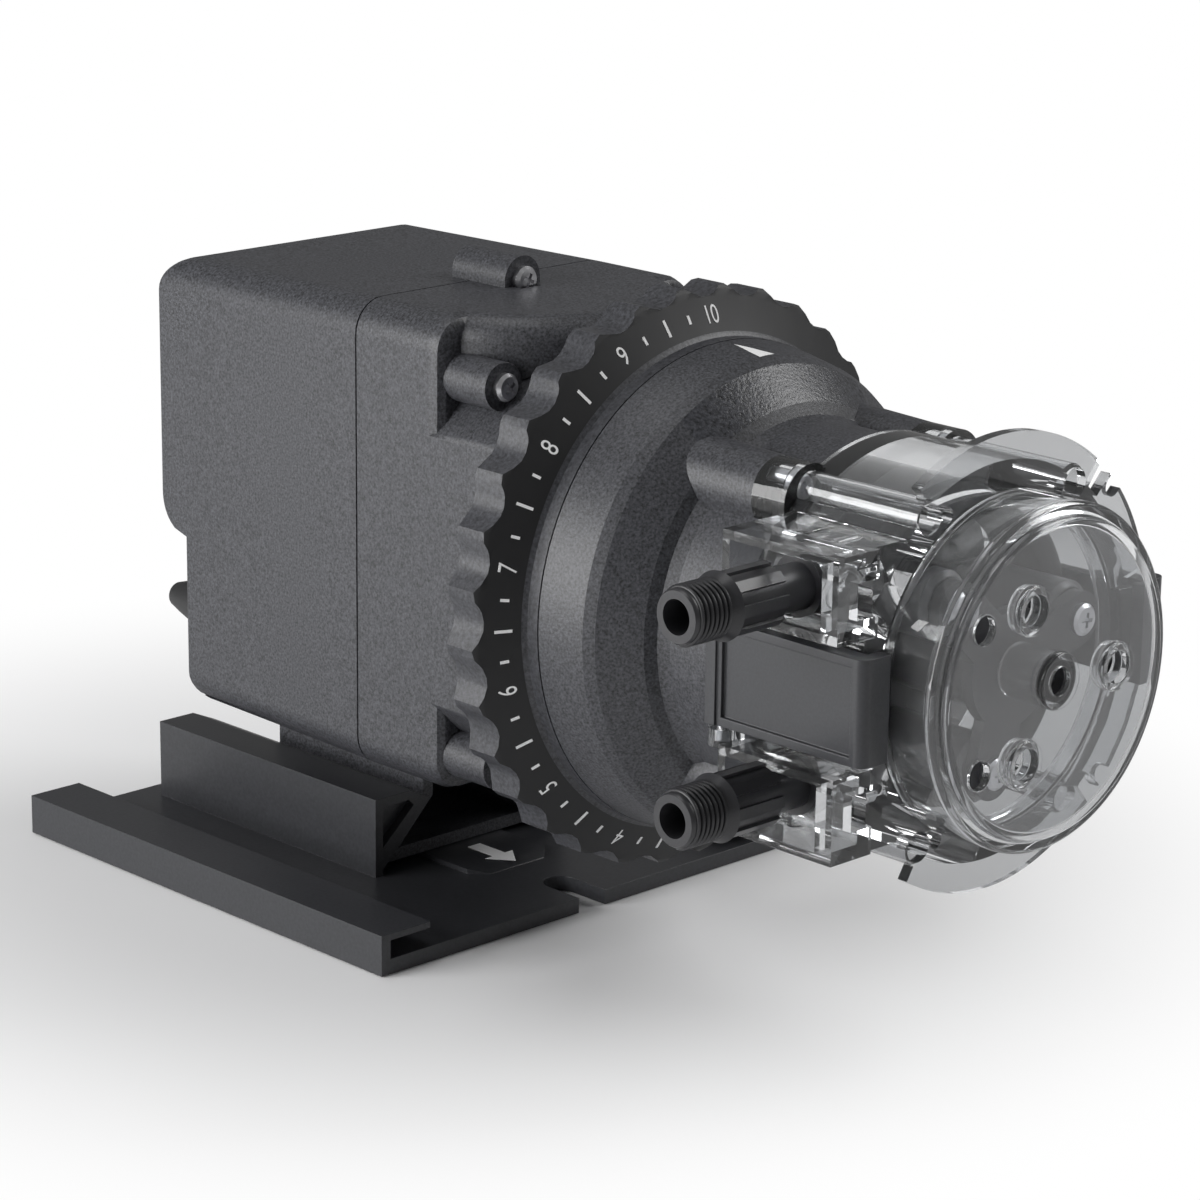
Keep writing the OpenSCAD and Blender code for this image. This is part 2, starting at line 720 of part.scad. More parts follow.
module gear_pins() {
    color("#c4c7cb") on_axis() {
        translate(first_c) rod(gear_pin_r, [plate_f, first_pinion_f[1] + clip_t + 0.2]);
        translate(second_c) rod(gear_pin_r, [plate_f, gear_case_len - 1.2]);
    }
}

module pin_clips() {
    color("#8b8e92") on_axis() {
        translate(first_c) ring(gear_pin_r + 1.6, gear_pin_r, [first_pinion_f[1] + 0.1, first_pinion_f[1] + 0.1 + clip_t]);
        translate(second_c) ring(gear_pin_r + 1.6, gear_pin_r, [second_pinion_f[1] + 0.3, second_pinion_f[1] + 0.3 + clip_t]);
    }
}

module motor_pinion() {
    color("#c9a94f") on_axis() translate(motor_c) difference() {
        teeth_of(module_1, pinion_teeth, pinion_f, 0);
        rod(motor_shaft_r, [0, 20]);
    }
}

module first_gear() {
    color("#e3ddc8") on_axis() translate(first_c) difference() {
        union() {
            difference() {
                teeth_of(module_1, first_teeth, first_f, first_turn);
                ring(dist_1 - 8, first_pinion_r() + 3, [first_f[0] - 1, first_f[0] + 1.8]);
            }
            rod(gear_pin_r + 3, [plate_f + plate_t + 0.3, first_f[1]]);
            teeth_of(module_2, first_pinion_teeth, first_pinion_f, 0);
        }
        rod(gear_pin_r + run_gap, [plate_f - 1, first_pinion_f[1] + 1]);
    }
}

function first_pinion_r() = module_2 * first_pinion_teeth / 2;

module second_gear() {
    color("#e3ddc8") on_axis() translate(second_c) difference() {
        union() {
            difference() {
                teeth_of(module_2, second_teeth, second_f, second_turn);
                ring(module_2 * second_teeth / 2 - 4, 9, [second_f[0] - 1, second_f[0] + 2]);
            }
            rod(gear_pin_r + 1.6, [plate_f + plate_t + 0.3, second_f[0] + 1]);
            teeth_of(module_3, second_pinion_teeth, second_pinion_f, 0);
        }
        rod(gear_pin_r + run_gap, [plate_f - 1, second_pinion_f[1] + 1]);
    }
}

module output_gear() {
    color("#e3ddc8") on_axis() difference() {
        union() {
            difference() {
                teeth_of(module_3, output_teeth, output_f, output_turn);
                ring(module_3 * output_teeth / 2 - 4, hub_r + 3, [output_f[0] - 1, output_f[0] + 2.2]);
            }
            rod(hub_r, [output_f[0] - 2, hub_end]);
            for (a = [0, 120, 240]) rotate(a) rotate_extrude(angle = 44)
                translate([shaft_r + 1, hub_end - 1]) square([hub_r - shaft_r - 1.4, lug_h + 1]);
        }
        rod(shaft_r, [output_f[0] - 3, hub_end + lug_h + 1]);
    }
}

module wall_bushing() {
    color("#b8873a") on_axis() ring(hub_r + 3, hub_r + run_gap, [gear_case_len - bushing_t - 1.2, gear_case_len + 0.8]);
}

// Motor
stack_f = [-stack_setback - stack_t, -stack_setback];
strap_t = 2;
strap_gap = 3;
strap_y = 12;
bolt_x = stator_x - 5;
front_strap_f = stack_f[1] + strap_gap;
rear_strap_f = stack_f[0] - strap_gap - strap_t;
fan_f = [rear_strap_f - 9, rear_strap_f - 3];
limb_y = [-stator_drop, -stator_drop + limb_w + 1];
window_top = -rotor_r - 4;

module motor_bolt_places() {
    for (s = [-1, 1]) translate(motor_c + [s * bolt_x, 0]) children();
}

module stator_core() {
    color("#6f7276") on_axis() translate(motor_c) difference() {
        slab([-stator_x, stator_x], [-stator_drop, stator_rise], stack_f);
        slab([limb_w - stator_x, stator_x - limb_w], [limb_y[1], window_top], [stack_f[0] - 1, stack_f[1] + 1]);
        rod(rotor_r + air_gap, [stack_f[0] - 1, stack_f[1] + 1]);
        for (s = [-1, 1]) translate([s * bolt_x, 0, 0]) rod(screw_r + 0.05, [stack_f[0] - 1, stack_f[1] + 1]);
    }
}

module coil_shape(half, grow, f_grow) {
    difference() {
        slab([-half, half], [limb_y[0] - grow, limb_y[1] + grow], [stack_f[0] - f_grow, stack_f[1] + f_grow]);
        slab([-half - 1, half + 1], [limb_y[0] - 0.2, limb_y[1] + 0.2], [stack_f[0] - 0.2, stack_f[1] + 0.2]);
    }
}

module coil_bobbin() {
    half = stator_x - limb_w - 0.4;
    color("#e8e4d6") on_axis() translate(motor_c) union() {
        coil_shape(half, 1.2, 1.2);
        for (s = [0, 1]) mirror([s, 0, 0]) intersection() {
            coil_shape(half, winding_t, winding_t + 1);
            slab([half - 1.4, half], [-200, 200], [-200, 200]);
        }
    }
}

module coil_winding() {
    half = stator_x - limb_w - 2;
    color("#b5651d") on_axis() translate(motor_c) difference() {
        slab([-half, half], [limb_y[0] - winding_t + 0.6, limb_y[1] + winding_t - 0.6],
            [stack_f[0] - winding_t, stack_f[1] + winding_t]);
        slab([-half - 1, half + 1], [limb_y[0] - 1.4, limb_y[1] + 1.4], [stack_f[0] - 1.4, stack_f[1] + 1.4]);
    }
}

module bearing_strap(f) {
    legs = f > stack_f[0] ? [stack_f[1], f + strap_t] : [f, stack_f[0]];
    difference() {
        union() {
            slab([-stator_x, stator_x], [-strap_y / 2, strap_y / 2], [f, f + strap_t]);
            for (s = [-1, 1]) translate([s * bolt_x, 0, 0])
                slab([-3.5, 3.5], [-strap_y / 2, strap_y / 2], legs);
            rod(8, [f, f + strap_t]);
        }
        rod(5, [f - 1, f + strap_t + 1]);
        for (s = [-1, 1]) translate([s * bolt_x, 0, 0]) rod(screw_r + 0.05, [f - 10, f + 10]);
    }
}

module rear_bearing_strap() {
    color("#9a9da1") on_axis() translate(motor_c) bearing_strap(rear_strap_f);
}

module front_bearing_strap() {
    color("#9a9da1") on_axis() translate(motor_c) bearing_strap(front_strap_f);
}

module motor_bushings() {
    color("#b8873a") on_axis() translate(motor_c) {
        ring(5, motor_shaft_r + run_gap, [rear_strap_f - 1, rear_strap_f + strap_t + 1]);
        ring(5, motor_shaft_r + run_gap, [front_strap_f - 1, front_strap_f + strap_t + 1]);
    }
}

module motor_bolts() {
    color("#b9bcc0") on_axis() motor_bolt_places() {
        translate([0, 0, rear_strap_f]) rotate([180, 0, 0])
            screw(screw_r, screw_head_r, screw_head_h, plate_f + plate_t + 1 - rear_strap_f, 0);
        ring(screw_head_r, screw_r, [front_strap_f + strap_t, plate_f]);
        ring(screw_head_r, screw_r, [plate_f + plate_t, plate_f + plate_t + 1.6]);
    }
}

module rotor_core() {
    color("#85888c") on_axis() translate(motor_c) ring(rotor_r, motor_shaft_r, stack_f);
}

module motor_shaft() {
    color("#c4c7cb") on_axis() translate(motor_c) rod(motor_shaft_r, [fan_f[0] - 0.5, pinion_f[1]]);
}

module cooling_fan() {
    color("#43464a") on_axis() translate(motor_c) difference() {
        union() {
            rod(motor_shaft_r + 3, fan_f);
            rod(fan_r * 0.55, [fan_f[1] - 1.5, fan_f[1]]);
            for (a = [0:45:359]) rotate(a) translate([motor_shaft_r + 1, -0.8, fan_f[0]])
                cube([fan_r - motor_shaft_r - 1, 1.6, fan_f[1] - fan_f[0]]);
        }
        rod(motor_shaft_r, [fan_f[0] - 1, fan_f[1] + 1]);
    }
}

// Main shaft and clutch
spring_f = 6.5;
spring_h = 3.6;
spring_r = 15;
collar_seat = clutch_f + spring_f + spring_h + 0.1;
shaft_end = roller_end + roller_play + roller_plate_t + 0.3;

module main_shaft() {
    color("#c4c7cb") on_axis() {
        rod(shaft_r, [output_f[0] - 6, shaft_end]);
        rod(journal_r, [shaft_end - 1, cover_end - cover_t - 1]);
    }
}

module shaft_clip() {
    color("#8b8e92") on_axis() ring(shaft_r + 2.4, shaft_r, [output_f[0] - 3.4, output_f[0] - 2.3]);
}

module clutch_plate() {
    color("#d8d3bd") on_axis() difference() {
        union() {
            rod(hub_r, [clutch_f, clutch_f + spring_f]);
            for (a = [60, 180, 300]) rotate(a) rotate_extrude(angle = 44)
                translate([shaft_r + 1, clutch_f - lug_h]) square([hub_r - shaft_r - 1.4, lug_h + 1]);
            translate([0, 0, clutch_f + 1.5]) linear_extrude(3) polygon([for (k = [0:47])
                polar(k % 2 == 0 ? clutch_r : clutch_r - 1.8, k * 7.5 + (k % 2) * 4)]);
        }
        rod(shaft_r, [clutch_f - 4, clutch_f + 8]);
        for (a = [0:60:359]) rotate(a) translate([(hub_r + clutch_r) / 2, 0, 0])
            rod(5, [clutch_f, clutch_f + 6]);
    }
}

module disc_spring() {
    color("#a9acb0") on_axis() difference() {
        translate([0, 0, clutch_f + spring_f]) cylinder(r1 = hub_r - 1, r2 = spring_r, h = spring_h);
        translate([0, 0, clutch_f + spring_f + 0.8]) cylinder(r1 = hub_r - 1, r2 = spring_r, h = spring_h);
        rod(shaft_r + 0.3, [clutch_f, clutch_f + 12]);
    }
}

module thrust_collar() {
    color("#9a9da1") on_axis() ring(spring_r + 1, shaft_r, [collar_seat - 0.1, collar_seat + 2]);
}

// Dial
// The crests are narrower than the hollows between them
function crest(a) = dial_r - scallop * (1 - pow((1 + cos((a - scallop_turn) * scallops)) / 2, 1.5));

module feed_dial() {
    knurl_end = dial_f + knurl_w;
    steps = scallops * 6;
    bore = journal_ring_r + run_gap + 0.03;
    color("#232427") on_axis() difference() {
        union() {
            intersection() {
                translate([0, 0, dial_f]) linear_extrude(collar_f - dial_f)
                    polygon([for (k = [0:steps - 1]) polar(crest(k * 360 / steps), k * 360 / steps)]);
                rotate_extrude() polygon([[0, dial_f], [dial_r + 1, dial_f], [dial_r + 1, knurl_end - 2.6],
                    [dial_r - 1.2, knurl_end - 0.4], [dial_r - 2.6, knurl_end], [collar_r + 1, knurl_end + 3.6],
                    [collar_r, knurl_end + 4.4], [collar_r, collar_f], [0, collar_f]]);
            }
        }
        rod(bore, [dial_f + web_t, collar_f + 1]);
        rod(journal_ring_r - 12.6, [dial_f - 1, collar_f + 1]);
        ring(dial_r - 5, journal_ring_r + 3.5, [dial_f - 1, knurl_end - 3.5]);
    }
}

module feed_cam() {
    outer = journal_ring_r - 12.6;
    color("#d8d3bd") on_axis() difference() {
        ring(outer, outer - 8, [dial_f, dial_f + web_t + 12]);
        translate([0, 0, dial_f + web_t + 5]) rotate([cam_slope, 0, 0])
            slab([-dial_r, dial_r], [-dial_r, dial_r], [0, dial_r]);
    }
}

// Front neck
module feed_housing() {
    shoulder = collar_f + 0.3;
    neck_in = head_neck_r - 3;
    color("#2c2e32") on_axis() difference() {
        union() {
            rotate_extrude() difference() {
                union() {
                    polygon([[neck_in, housing_f], [journal_ring_r, housing_f], [journal_ring_r, shoulder],
                        [collar_r - 0.1, shoulder], [collar_r - 0.6, shoulder + 4], [collar_r - 1.9, shoulder + 11.6],
                        [collar_r - 3.2, shoulder + 14.1], [head_neck_r + 4.9, shoulder + 20.3],
                        [head_neck_r + 3.7, shoulder + 21.5], [head_neck_r + 1.1, shoulder + 22.9],
                        [head_neck_r, shoulder + 25.7], [head_neck_r, housing_end], [shaft_r + 3, housing_end],
                        [shaft_r + 3, housing_end - neck_wall], [neck_in, housing_end - neck_wall]]);
                    translate([19, base_end]) square([4, housing_end - 1 - base_end]);
                    translate([shaft_r + 3, housing_end - 12]) square([6, 11]);
                }
                polygon([[neck_in - 1, housing_f - 1], [journal_ring_r - 3, housing_f - 1],
                    [journal_ring_r - 3, shoulder + 1], [collar_r - 4.5, shoulder + 4],
                    [collar_r - 5.5, shoulder + 10], [neck_in, shoulder + 21], [neck_in - 1, shoulder + 21]]);
            }
            four(head_screw_x, head_screw_y - head_boss_in) translate([0, 0, shoulder + 9])
                cylinder(r1 = head_boss_r + 1, r2 = head_boss_r, h = boss_end - shoulder - 9);
            for (a = [30, 150, 270]) rotate(a) translate([24.5, 0, 0]) rod(3.4, [base_end, base_end + 16]);
        }
        four(head_screw_x, head_screw_y - head_boss_in) rod(head_boss_r + 0.3, [boss_end, housing_end + 1]);
        four(head_screw_x, head_screw_y) rod(screw_r - 0.1, [boss_end - 18, boss_end + 1]);
        for (a = [30, 150, 270]) rotate(a) translate([24.5, 0, 0]) rod(screw_r - 0.1, [base_end - 1, base_end + 13]);
    }
}

module neck_screws() {
    color("#b9bcc0") on_axis() for (a = [30, 150, 270]) rotate(a) translate([24.5, 0, base_end - base_wall])
        rotate([180, 0, 0]) screw(screw_r, screw_head_r, screw_head_h, 14, 0.12);
}

module neck_bushing() {
    color("#b8873a") on_axis() ring(shaft_r + 3, shaft_r + run_gap, [housing_end - 12, housing_end]);
}

// Clear pump head
module fitting_channel() {
    slab([-block_x, -30], block_w, [block_f[0], head_end]);
    slab([-block_x, -block_x + block_rim[0]], block_w, [block_f[0], block_f[1]]);
    slab([-block_x, -head_neck_r + 2], [block_w[1] - block_rim[1], block_w[1]], [block_f[0], block_f[1]]);
    slab([-block_x, -head_neck_r + 2], [block_w[0], block_w[0] + block_rim[2]], [block_f[0], block_f[1]]);
}

// Section of the pressed tube, flattened between two round edges
module pressed_section(grow) {
    r = pressed_t / 2 + grow;
    square([2 * r, pressed_w - pressed_t], center = true);
    for (s = [-1, 1]) translate([0, s * (pressed_w - pressed_t) / 2]) circle(r = r);
}

module tube_path(grow, extra) {
    translate([0, 0, fitting_f]) {
        leftwards(bend_x, fitting_y, 0) cylinder(r = tube_r + grow, h = seat_x - bend_x + extra);
        translate([-bend_x, fitting_y + bend_r, 0]) rotate(-90) rotate_extrude(angle = bend_turn + 1)
            translate([bend_r, 0]) pressed_section(grow - 0.12);
    }
}

module latch_ear() {
    y = [latch_y + 0.6, latch_y + 4.4];
    rotate([-90, 0, 0]) translate([-latch_c, -latch_f, 0]) rod(3.4, y);
    slab([-latch_c, 4 - latch_c], y, [latch_f - 3.4, block_f[0] + 1]);
    slab([4 - latch_c - 1, -36], y, [head_f, block_f[0] + 1]);
}

module tube_housing() {
    color("#c9ced3", 0.4) on_axis() difference() {
        union() {
            rod(drum_r, [head_f, head_end]);
            four(head_screw_x, head_screw_y - head_boss_in) rod(head_boss_r, [boss_end, head_f + 2]);
            four(head_screw_x, head_screw_y) rod(screw_tube_r, [head_f, head_end]);
            for (s = [0, 1]) mirror([0, s, 0]) {
                for (arc = flange_arcs) rotate(arc[0]) rotate_extrude(angle = arc[1] - arc[0])
                    translate([drum_r - 1, head_end - flange_t]) square([flange_r - drum_r + 1, flange_t]);
                fitting_channel();
                latch_ear();
                mirror([1, 0, 0]) latch_ear();
            }
        }
        rod(track_r, [head_f + 3, head_end + 1]);
        rod(shaft_r + 1.5, [head_f - 1, head_f + 4]);
        four(head_screw_x, head_screw_y) rod(screw_r + 0.2, [boss_end - 1, head_end]);
        four(head_screw_x, head_screw_y) rod(screw_head_r + 0.2, [head_screw_f, head_end + 1]);
        four(head_screw_x - 5.4, head_screw_y) rod(screw_r - 0.2, [head_end - 4, head_end + 1]);
        for (s = [0, 1]) mirror([0, s, 0]) {
            rotate(notch_turn) {
                translate([flange_r - 1.4, 0, 0]) rod(notch_r, [head_end - flange_t - 1, head_end + 1]);
                slab([flange_r - 1.4, flange_r + 6], [-notch_r, notch_r],
                    [head_end - flange_t - 1, head_end + 1]);
            }
            slab([-block_x - 1, -seat_x], [block_w[0] + block_t, block_w[1] - block_t],
                [block_f[0] + block_t, head_end + 1.5 - block_front]);
            slab([-block_x + block_rim[0], -seat_x + 1.5], [block_w[0] + block_rim[2], block_w[1] - block_rim[1]],
                [head_end - block_front, head_end + 2]);
            leftwards(seat_wall + 3, fitting_y, fitting_f) cylinder(r = thread_r + 0.35, h = 10);
            tube_path(tube_gap, 1);
            for (m = [-1, 1]) rotate([-90, 0, 0]) translate([m * latch_c, -latch_f, 0])
                rod(latch_pin_r + 0.02, [latch_y, latch_y + 3.4]);
        }
    }
}

module head_screws() {
    color("#b9bcc0") on_axis() four(head_screw_x, head_screw_y) translate([0, 0, head_screw_f])
        screw(screw_r, screw_head_r, screw_head_h, 20, 0.12);
}

cover_hole_turn = -2;
plain_hole_turn = 147;
boss_rise = 0.8;

module head_cover() {
    plate_in = cover_end - cover_t;
    rim_end = cover_end - face_h;
    color("#c9ced3", 0.3) on_axis() difference() {
        union() {
            rotate_extrude() polygon([[track_r - cover_t - 0.25, head_end - 2.5], [track_r - 0.25, head_end - 2.5],
                [track_r - 0.25, head_end], [cup_r, head_end], [cup_r, rim_end - 0.9], [cup_r - 0.9, rim_end],
                [face_r, rim_end], [face_r - 0.3, cover_end - 0.5], [face_r - 1.2, cover_end], [0, cover_end],
                [0, plate_in], [cup_r - cover_t - 3, plate_in], [cup_r - cover_t, plate_in - 2.6],
                [cup_r - cover_t, head_end + 3]]);
            for (s = [-1, 1]) intersection() {
                ring(latch_in - 0.8, cup_r - 1, [head_end, head_end + lug_grip]);
                slab([s < 0 ? -drum_r : 0, s < 0 ? 0 : drum_r], [1 - latch_y, latch_y - 1], [head_end, head_end + 9]);
            }
            rod(journal_r + 3, [head_end + 4, cover_end + boss_rise]);
            for (k = [0:2]) rotate(cover_hole_turn + 120 * k) translate([cover_hole_r, 0, 0])
                rod(bossed_hole_r + 1.6, [plate_in - 2, cover_end + boss_rise]);
        }
        rod(journal_r + 1.5, [head_end + 3, cover_end - 1]);
        rod(journal_r, [head_end + 3, cover_end + 2]);
        for (k = [0:2]) rotate(cover_hole_turn + 120 * k) translate([cover_hole_r, 0, 0])
            rod(bossed_hole_r, [plate_in - 3, cover_end + 2]);
        for (s = [-1, 1]) rotate(s * plain_hole_turn) translate([plain_hole_out, 0, 0])
            rod(plain_hole_r, [plate_in - 1, cover_end + 1]);
    }
}

module cover_bushing() {
    color("#2a2b2e") on_axis() ring(journal_r + 1.5, journal_r + run_gap, [head_end + 4, cover_end - 1]);
}

module fitting() {
    body = thread_end - 2;
    leftwards(0, 0, 0) difference() {
        union() {
            rotate_extrude() polygon([[0, seat_x - 5.4], [2.9, seat_x - 5.4], [2.9, seat_x - 2.6],
                [thread_r + 0.3, seat_x - 2.6], [thread_r + 0.3, seat_x + 1.4], [fitting_neck_r, seat_x + 1.4],
                [fitting_neck_r, grip_x], [thread_r - 0.2, grip_x], [thread_r - 0.2, body], [thread_r + 0.9, body], [thread_r + 0.9, thread_end],
                [thread_r, thread_end], [thread_r, fitting_x - 1], [thread_r - 1, fitting_x], [0, fitting_x]]);
            for (k = [0:7]) rotate(k * 45) translate([0, -1.2, grip_x])
                cube([thread_r + 0.4, 2.4, body - grip_x + 1]);
        }
        rod(fitting_bore_r, [seat_x + 4, fitting_x + 1]);
        rod(1.9, [seat_x - 7, seat_x + 5]);
    }
}

module upper_fitting() {
    color("#26272a") on_axis() translate([0, fitting_y, fitting_f]) fitting();
}

module lower_fitting() {
    color("#26272a") on_axis() translate([0, -fitting_y, fitting_f]) fitting();
}

module fitting_seals() {
    color("#141415") on_axis() for (s = [-1, 1]) leftwards(0, s * fitting_y, fitting_f)
        ring(thread_r + 0.2, tube_r + 0.3, [seat_wall + 3.1, seat_x - 2.65]);
}

module pump_tube() {
    turn = 90 + bend_turn;
    color("#3a3b3d") on_axis() difference() {
        union() {
            for (s = [0, 1]) mirror([0, s, 0]) tube_path(0, -3);
            translate([0, 0, fitting_f]) rotate(-turn) rotate_extrude(angle = 2 * turn)
                translate([tube_mid, 0]) pressed_section(0);
        }
        for (s = [-1, 1]) leftwards(bend_x + 2, s * fitting_y, fitting_f) cylinder(r = 3.1, h = 20);
    }
}

// Rollers
module roller_places() {
    for (k = [0:2]) rotate(roller_turn + 120 * k) translate([roller_orbit, 0, 0]) children();
}

module roller_plate(f) {
    difference() {
        translate([0, 0, f]) linear_extrude(roller_plate_t) union() {
            circle(r = 13);
            for (k = [0:2]) rotate(roller_turn + 120 * k) {
                translate([0, -6]) square([roller_orbit, 12]);
                translate([roller_orbit, 0]) circle(r = 6);
            }
        }
        rod(shaft_r, [f - 1, f + roller_plate_t + 1]);
        roller_places() rod(roller_pin_r, [f - 1, f + roller_plate_t + 1]);
    }
}

module rear_roller_plate() {
    color("#2a2b2e") on_axis() union() {
        roller_plate(roller_f - roller_play - roller_plate_t);
        ring(10, shaft_r, [roller_f - roller_play - 0.1, roller_end + roller_play]);
    }
}

module front_roller_plate() {
    color("#2a2b2e") on_axis() roller_plate(roller_end + roller_play);
}

module roller_pins() {
    color("#c4c7cb") on_axis() roller_places() difference() {
        rod(roller_pin_r, [roller_f - roller_play - roller_plate_t, roller_end + roller_play + roller_plate_t]);
        rod(roller_pin_r - 1, [roller_end - 6, roller_end + 10]);
    }
}

module roller_screws() {
    color("#c9ccd0") on_axis() roller_places() translate([0, 0, roller_end + roller_play + roller_plate_t])
        screw(roller_pin_r - 1, roller_pin_r + 1, 1.8, 8, 0.02);
}

module roller(k) {
    edge = 1.2;
    color("#35373b") on_axis() rotate(roller_turn + 120 * k) translate([roller_orbit, 0, 0]) rotate_extrude()
        polygon([[roller_pin_r + run_gap, roller_f], [roller_r - edge, roller_f], [roller_r, roller_f + edge],
            [roller_r, roller_end - edge], [roller_r - edge, roller_end], [roller_pin_r + run_gap, roller_end]]);
}

module roller_a() {
    roller(0);
}

module roller_b() {
    roller(1);
}

module roller_c() {
    roller(2);
}

// Latches
module latch() {
    rear = latch_f - latch_t / 2;
    front = hook_f + hook_t;
    lip = latch_t / 2 + 0.6;
    difference() {
        union() {
            translate([0, latch_y, 0]) rotate([90, 0, 0]) linear_extrude(2 * latch_y) {
                translate([latch_in, latch_f]) square([latch_t, front - latch_f - 2.5]);
                translate([hook_in, hook_f]) square([latch_in + latch_t - 2.5 - hook_in, hook_t]);
                translate([latch_in + latch_t - 2.5, front - 2.5]) circle(r = 2.5);
                translate([latch_c, latch_f]) circle(r = latch_t / 2);
                translate([latch_c, latch_f - lip]) square(lip);
            }
        }
        slab([latch_in + latch_t - panel_d, latch_in + latch_t + 1], [2 - latch_y, latch_y - 2],
            [rear + 3.6, front - 3.4]);
        rotate([90, 0, 0]) translate([latch_c, latch_f, 0]) rod(latch_pin_r + run_gap, [-latch_y - 1, latch_y + 1]);
    }
}

module right_latch() {
    color("#1f2022") on_axis() latch();
}

module left_latch() {
    color("#1f2022") on_axis() mirror([1, 0, 0]) latch();
}

module latch_pins() {
    color("#b9bcc0") on_axis() for (s = [-1, 1]) rotate([90, 0, 0]) translate([s * latch_c, latch_f, 0])
        rod(latch_pin_r, [-latch_y - 3.2, latch_y + 3.2]);
}

mounting_bracket();
motor_housing();
cord_gland();
gear_case();
case_screws();
dial_base();
base_screws();
gear_plate();
plate_screws();
gear_pins();
pin_clips();
stator_core();
coil_bobbin();
coil_winding();
rear_bearing_strap();
front_bearing_strap();
motor_bushings();
motor_bolts();
rotor_core();
motor_shaft();
motor_pinion();
cooling_fan();
first_gear();
second_gear();
output_gear();
wall_bushing();
main_shaft();
shaft_clip();
clutch_plate();
disc_spring();
thrust_collar();
feed_dial();
feed_cam();
feed_housing();
neck_screws();
neck_bushing();
tube_housing();
head_screws();
head_cover();
cover_bushing();
pump_tube();
upper_fitting();
lower_fitting();
fitting_seals();
rear_roller_plate();
front_roller_plate();
roller_pins();
roller_screws();
roller_a();
roller_b();
roller_c();
left_latch();
right_latch();
latch_pins();
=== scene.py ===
# Peristaltic metering pump on its slide bracket: finishes, markings, threads and screw heads.
import math
import bpy
import bmesh
from mathutils import Matrix, Vector
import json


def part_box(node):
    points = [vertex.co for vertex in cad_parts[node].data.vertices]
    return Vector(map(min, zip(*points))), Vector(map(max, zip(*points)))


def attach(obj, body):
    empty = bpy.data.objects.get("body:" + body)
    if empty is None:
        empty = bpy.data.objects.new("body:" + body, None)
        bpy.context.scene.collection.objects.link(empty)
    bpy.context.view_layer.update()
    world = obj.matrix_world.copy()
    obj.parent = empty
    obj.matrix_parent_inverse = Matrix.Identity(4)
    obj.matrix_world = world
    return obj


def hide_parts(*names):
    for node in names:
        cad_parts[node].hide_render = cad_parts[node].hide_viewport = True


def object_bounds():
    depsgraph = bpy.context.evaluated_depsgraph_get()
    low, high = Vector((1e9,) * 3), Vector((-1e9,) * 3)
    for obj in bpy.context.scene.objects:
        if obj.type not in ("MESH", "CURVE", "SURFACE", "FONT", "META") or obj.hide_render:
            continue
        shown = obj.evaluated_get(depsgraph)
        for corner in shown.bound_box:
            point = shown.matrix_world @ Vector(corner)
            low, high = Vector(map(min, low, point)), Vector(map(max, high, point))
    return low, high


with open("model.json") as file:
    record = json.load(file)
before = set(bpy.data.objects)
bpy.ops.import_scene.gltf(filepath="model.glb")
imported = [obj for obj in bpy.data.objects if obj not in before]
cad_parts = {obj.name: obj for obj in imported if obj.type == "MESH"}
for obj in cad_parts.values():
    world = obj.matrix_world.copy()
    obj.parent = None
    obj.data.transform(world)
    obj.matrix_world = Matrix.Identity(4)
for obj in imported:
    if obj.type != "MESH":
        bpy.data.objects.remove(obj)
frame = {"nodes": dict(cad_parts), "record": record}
cadSize = [list(corner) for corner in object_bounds()]
mm = 0.001
print("frame loaded:", len(frame["nodes"]), "nodes")

# Places on the pump: x right and y up from the pump axis, f forward from the case seam
dialBox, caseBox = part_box("feed_dial"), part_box("motor_housing")
seamY = caseBox[0].y
axisZ = (dialBox[0].z + dialBox[1].z) / 2
pumpFrame = Matrix.Translation((0, seamY, axisZ)) @ Matrix.Rotation(math.radians(90), 4, "X")
toPump = pumpFrame.inverted()


# Camera: the photograph's view of the object
cameraPlace = {"azimuth": -44.18, "elevation": 15.94, "roll": 0.71, "distance": 0.928, "lens": 117.7,
               "target": (0.0, -0.0315, 0.07575), "targetPixel": (494.6, 569.7), "photoSide": 1200,
               "sensor": 36, "clip": (0.05, 20)}


def addCamera(c):
    a, e, r = (math.radians(c[k]) for k in ("azimuth", "elevation", "roll"))
    back = Vector((math.sin(a) * math.cos(e), -math.cos(a) * math.cos(e), math.sin(e)))
    right = Vector((math.cos(a), math.sin(a), 0))
    up = back.cross(right)
    right, up = right * math.cos(r) + up * math.sin(r), up * math.cos(r) - right * math.sin(r)
    focal, middle = c["lens"] / c["sensor"] * c["photoSide"], c["photoSide"] / 2
    aside = (c["targetPixel"][0] - middle) / focal * c["distance"]
    rise = (middle - c["targetPixel"][1]) / focal * c["distance"]
    place = Vector(c["target"]) + back * c["distance"] - right * aside - up * rise
    data = bpy.data.cameras.new("photoCamera")
    data.lens, data.sensor_width, data.sensor_fit = c["lens"], c["sensor"], "HORIZONTAL"
    data.clip_start, data.clip_end = c["clip"]
    cam = bpy.data.objects.new("photoCamera", data)
    cam.matrix_world = Matrix((right, up, back)).transposed().to_4x4()
    cam.matrix_world.translation = place
    bpy.context.scene.collection.objects.link(cam)
    bpy.context.scene.camera = cam


addCamera(cameraPlace)
print("camera placed")


